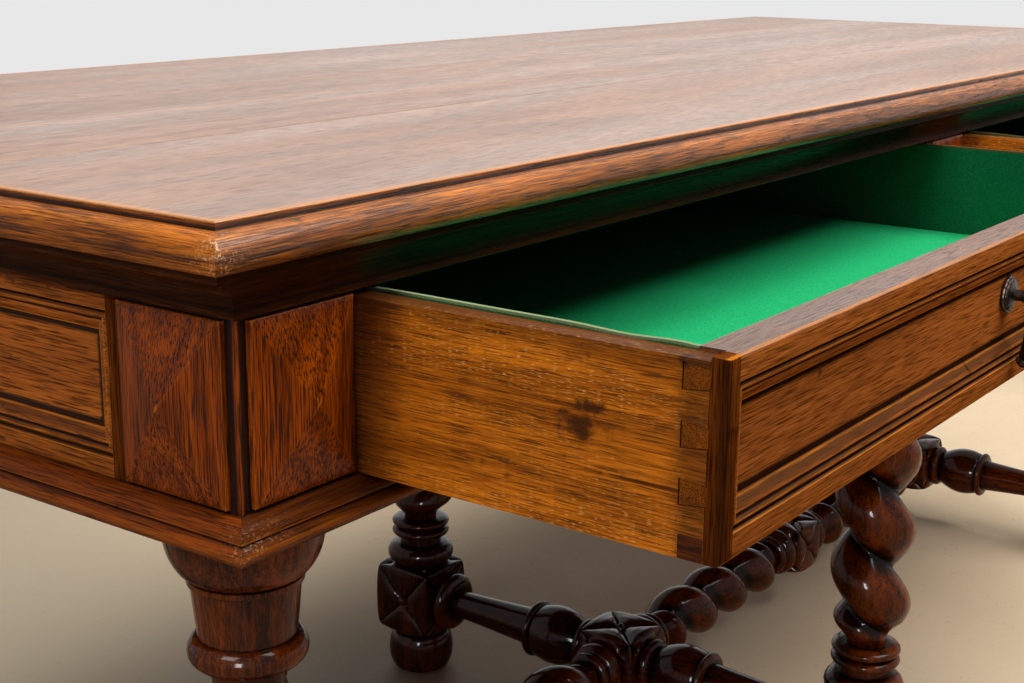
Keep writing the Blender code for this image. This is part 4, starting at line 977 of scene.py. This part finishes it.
def addLining(label, origin, body):
    inner = drawer.wide / 2 - drawer.side - lining.gap
    front, back = drawer.front + lining.gap, drawer.deep - drawer.back - lining.gap
    low = drawer.grooveTop + lining.above
    wall = low + lining.thick + lining.wobble
    tall = drawer.sideHigh + lining.rise - wall
    reach = inner - lining.thick - lining.wobble - lining.aside
    title, node = label.title(), f"drawer_{label}_felt"

    def addFelt(name, kind, flat, axes, offset, seed, edge):
        shell = turnedTo(feltSheet(*flat, seed, edge), axes, np.add(origin, offset))
        piece = addPiece(name, [shell], felts[kind], body, [node], "felt", angle=lining.angle)

    flat, offset = (2 * inner, back - front), (-inner, front, low)
    addFelt(f"feltFloor{title}", "felt", flat, facing.front, offset, lining.floorSeed, 0.0)
    for sign, side in sides:
        # the walls take the felt's darker copies, painted shade
        kind = "feltWall" if label == side == "left" else "feltFarWall"
        flat, offset = (back - front, tall), (sign * inner, front, wall)
        axes = ((0, 1, 0), (0, 0, 1), (-sign, 0, 0))
        seed = lining.sideSeed + sign
        addFelt(f"feltSide{title}{side.title()}", kind, flat, axes, offset, seed, 1.0)
    for sign, end, at in ((1, "front", front), (-1, "back", back)):
        flat, offset = (2 * reach, tall - lining[f"{end}Fall"]), (-reach, at, wall)
        axes = ((1, 0, 0), (0, 0, 1), (0, sign, 0))
        seed = lining.endSeed + sign
        addFelt(f"felt{end.title()}{title}", "feltFarWall", flat, axes, offset, seed, 1.0)


# Drop pull: domed rosette on a post with a flat tongue, and a bell that hangs from two round cheeks.
pull = Settings(
    level=0.056, field=0.008, cheek=0.0056, slot=0.0022, around=64, lobes=12, lobeHigh=0.03,
    lobeFrom=0.0055, tongue=(0.0018, 0.0088, 0.0008, 0.003), tongueAt=0.0125, tongueRound=0.0008,
    tongueCells=4, dropAround=48, pole=0.01, angle=40.0)


def plateShells(origin):
    # runs of the rosette: rounded rim, dome, shoulder and post
    t = np.linspace(0, 1, 14)
    rim, dome = np.pi * t, np.pi * t / 2
    runs = ((0.0002 + 0.0014 * (1 - np.cos(rim)), 0.0112 + 0.0008 * np.sin(rim), 0.7 * np.sin(rim)),
            (0.003 + 0.0022 * np.sin(dome), 0.0105 - 0.0045 * (1 - np.cos(dome)), 0.2),
            (0.0053 + 0.0006 * t, 0.0058 - 0.0016 * t, 0.3),
            (np.array([0.0062, 0.0105, 0.0115, 0.0125]), np.array([0.0036, 0.0034, 0.0042, 0.0042]),
             [-0.4, 0.2, 0.6, 0.2]))
    lobes = pull.lobeHigh * np.cos(pull.lobes * fullTurn(pull.around))
    runs = [(level, radius[:, None] * (1 + lobes * (radius > pull.lobeFrom)[:, None]), wear)
            for level, radius, wear in runs]
    x, y, z = np.asarray(origin) + (0, pull.field, pull.level)
    rosette = turnedTo(turnedShell(*runs, around=pull.around), ((1, 0, 0), (0, 0, 1), (0, -1, 0)), (x, y, z))
    wide, ahead, behind, tall = pull.tongue
    y -= pull.tongueAt
    low, high = (x - wide, y - ahead, z - tall), (x + wide, y + behind, z + tall)
    return rosette, roundedBox(low, high, pull.tongueRound, pull.tongueCells)


def dropShells(pivot):
    # two cheeks, then the runs of the bell: top, throat, flare, swelling and underside
    a = np.linspace(math.asin(pull.slot / pull.cheek), np.pi / 2 - pull.pole, 14)
    cheek = turnedShell((pull.cheek * np.sin(a), pull.cheek * np.cos(a), 0.5), around=pull.dropAround)
    throat = np.sin(np.linspace(0, np.pi / 2, 12))
    s = np.linspace(0, 1, 22)
    swell = np.sin(np.pi * s)
    bell = turnedShell(([-0.0049, -0.0052], [0.004, 0.0046], [0.2, 0.5]),
                       (-0.0054 - 0.003 * throat, 0.0046 - 0.001 * throat, 0.2),
                       (-0.0085 - 0.03 * s, 0.0034 + 0.0032 * s ** 1.6, 0.0),
                       (-0.0392 - 0.0021 * (1 - np.cos(np.pi * s)), 0.0066 + 0.0019 * swell, 0.8 * swell),
                       ([-0.0448, -0.045], [0.0062, 0.0058], [0.3, 0.1]), around=pull.dropAround)
    cheeks = [turnedTo(cheek, ((0, 1, 0), (0, 0, 1), (sign, 0, 0)), pivot) for sign in (-1, 1)]
    return [*cheeks, moved(bell, pivot)]


for signX, label in sides:
    low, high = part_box(f"drawer_{label}_front")
    origin = ((low.x + high.x) / 2, low.y, low.z)
    title, body, nodes = label.title(), f"{label}_drawer", [f"drawer_{label}_front"]
    # the front's top face takes the darker oak with painted shade
    lipAt = low.z + drawer.high - drawer.softEdge
    lip = oak("lipOak", "x"), lambda middle: middle[:, 2] > lipAt
    addPiece(f"drawerFront{title}", [frontShell(origin)], oak("frontOak", "x"), body, nodes, "apron_oak",
             angle=drawer.angle, shift=drawer.shift * signX,
             others=(lip, stiles(0, origin[0], drawer.wide / 2 - drawer.border)))
    addPiece(f"drawerPins{title}", pinShells(origin), oak("pinOak", "x"), body, nodes, "apron_oak")
    if label == "left":
        addPiece("drawerRepairLeft", [repairShell(origin)], oak("turnedOak", "y"), body)
    addLining(label, origin, body)
    pinLow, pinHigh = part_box(f"pull_{label}_pin")
    pivot = np.array((pinLow + pinHigh) / 2)
    pulls = ("plate", plateShells(origin), body), ("drop", dropShells(pivot), f"{label}_pull")
    for key, shells, rides in pulls:
        nodes = [f"pull_{label}_{key}"]
        addPiece(f"pull{key.title()}{title}", shells, bronze, rides, nodes, "bronze", angle=pull.angle)
print("stage: drawers")

# The pieces that keep the frame's shapes take a material along their own grain.
kept = {"partition": oak("innerOak", "y"), "dust_board": oak("innerOak", "x"),
        "drawer_guide": oak("innerOak", "y")}
for signX, label in sides:
    kept |= {f"drawer_{label}_side": oak("drawerOak", "y"), f"drawer_{label}_back": oak("drawerOak", "x"),
             f"drawer_{label}_bottom": oak("drawerOak", "x"), f"pull_{label}_pin": bronze}
for item in bpy.data.objects:
    material = next((value for key, value in kept.items() if item.name.startswith(key)), None)
    if item.type == "MESH" and material:
        item.data.materials.clear()
        item.data.materials.append(material)
print("stage: kept pieces")

# Room and floor: a pale floor with faint blotches and grit, painted shade that darkens it away from a point
# behind the table's right end, and a run into the room's colour far away.
room = Settings(colour=(0.805, 0.805, 0.81, 1.0), seen=1.0, lit=0.045)
floor = Settings(
    radius=7.0, level=-0.0004, corners=96, pale=(0.88, 0.68, 0.44), dark=(0.78, 0.59, 0.38),
    dim=(0.3, 0.25, 0.18), blotch=(1.6, 6.0, 0.6), grit=(70.0, 4.0, 0.7), blotchRange=(0.35, 0.65),
    gritRange=(0.58, 0.75, 0.0, 0.35), dimFrom=(1.15, 0.5, 0.0), dimRange=(0.55, 1.5, 0.0, 0.8),
    fadeRange=(2.2, 5.0), rough=(0.3, 0.7, 0.62, 0.8), bump=0.0006)
tree = Tree("floor")
place = tree.place()
blotch, grit = tree.noise(place, *floor.blotch), tree.noise(place, *floor.grit)
# painted shade: darker with distance from that point, which also tones down the key light's pool in front of
# the table
dim = tree.spread(tree.vector("DISTANCE", place, floor.dimFrom), *floor.dimRange)
colour = tree.mix(tree.spread(blotch, *floor.blotchRange), floor.dark, floor.pale)
colour = tree.mix(dim, colour, floor.dim)
# grit specks take the painted shade's colour
colour = tree.mix(tree.spread(grit, *floor.gritRange), colour, floor.dim)
tree.shade({"Base Color": colour, "Roughness": tree.spread(blotch, *floor.rough)})
tree.bump(grit, floor.bump)
rays = tree.node("ShaderNodeLightPath").outputs
seen = tree.maths("MAXIMUM", rays["Is Camera Ray"], rays["Is Glossy Ray"])
fade = tree.times(tree.spread(tree.vector("LENGTH", place), *floor.fadeRange), seen)
glow = tree.node("ShaderNodeEmission", room.colour)
either = tree.node("ShaderNodeMixShader", fade, tree.shader.outputs[0], glow.outputs[0])
tree.put(tree.nodes["Material Output"].inputs["Surface"], either.outputs[0])
around = fullTurn(floor.corners)
x, y = floor.radius * np.cos(around), floor.radius * np.sin(around)
points = np.stack([x, y, np.full_like(around, floor.level)], -1)
floorMesh = bpy.data.meshes.new("floor")
floorMesh.from_pydata(points.tolist(), [], [list(range(floor.corners))])
floorMesh.materials.append(tree.owner)
floorPiece = show("floor", floorMesh)

# Camera: looks along a heading turned from +Y towards +X, tipped down and rolled a little.
camera = Settings(position=(-1.4078, tableY - 0.8602, 0.8963), yaw=54.1411, pitch=14.6226, roll=0.5688,
                  focal=1562.54, wide=1024, sensor=36.0, near=0.05)
cameraData = bpy.data.cameras.new("camera")
cameraData.sensor_width = camera.sensor
cameraData.lens = camera.focal * camera.sensor / camera.wide
cameraData.clip_start = camera.near
pose = Matrix.Translation(camera.position)
for degrees, axis in ((-camera.yaw, "Z"), (90 - camera.pitch, "X"), (camera.roll, "Z")):
    pose = pose @ Matrix.Rotation(math.radians(degrees), 4, axis)
cameraPiece = show("camera", cameraData)
cameraPiece.matrix_world = pose
bpy.context.scene.camera = cameraPiece

# Light: a large soft box overhead, a window at the end, a small lamp for highlights, and a pale wall behind.
lights = Settings(key=Settings(at=(0.2, -1.2, 3.2), to=(-0.1, -0.2, 0.65), size=(2.4, 2.4), watts=200.0),
                  window=Settings(at=(-3.0, -0.2, 2.9), to=(-0.7, 0.0, 0.6), size=(1.3, 1.3), watts=72.0),
                  spark=Settings(at=(-3.2, -1.4, 1.2), to=(-0.3, -0.2, 0.5), size=(0.5, 0.9), watts=70.0),
                  wall=Settings(at=(4.4, 3.3, 1.3), to=(0.0, 0.1, 0.8), size=(5.0, 2.4), watts=26.0))
for name, light in lights.items():
    data = bpy.data.lights.new(name, "AREA")
    data.shape = "RECTANGLE"
    data.size, data.size_y = light.size
    data.energy = light.watts
    lamp = show(name, data)
    lamp.location = light.at
    lamp.visible_camera = False
    lamp.visible_diffuse = name != "spark"  # the spark only makes highlights
    lamp.rotation_euler = (Vector(light.to) - Vector(light.at)).to_track_quat("-Z", "Y").to_euler()

# World: a pale grey room, seen as it is by the camera and dimmer as a light.
sky = Tree("room", bpy.data.worlds, "Background")
rays = sky.node("ShaderNodeLightPath").outputs
seen = rays["Is Camera Ray"]
for kind in ("Is Glossy Ray", "Is Transmission Ray"):  # reflections show the pale room too
    seen = sky.maths("MAXIMUM", seen, rays[kind])
sky.shade({"Color": room.colour, "Strength": sky.spread(seen, 0.0, 1.0, room.lit, room.seen)})
bpy.context.scene.world = sky.owner

bpy.context.scene.view_settings.view_transform = "Standard"
print("stage: camera and light")
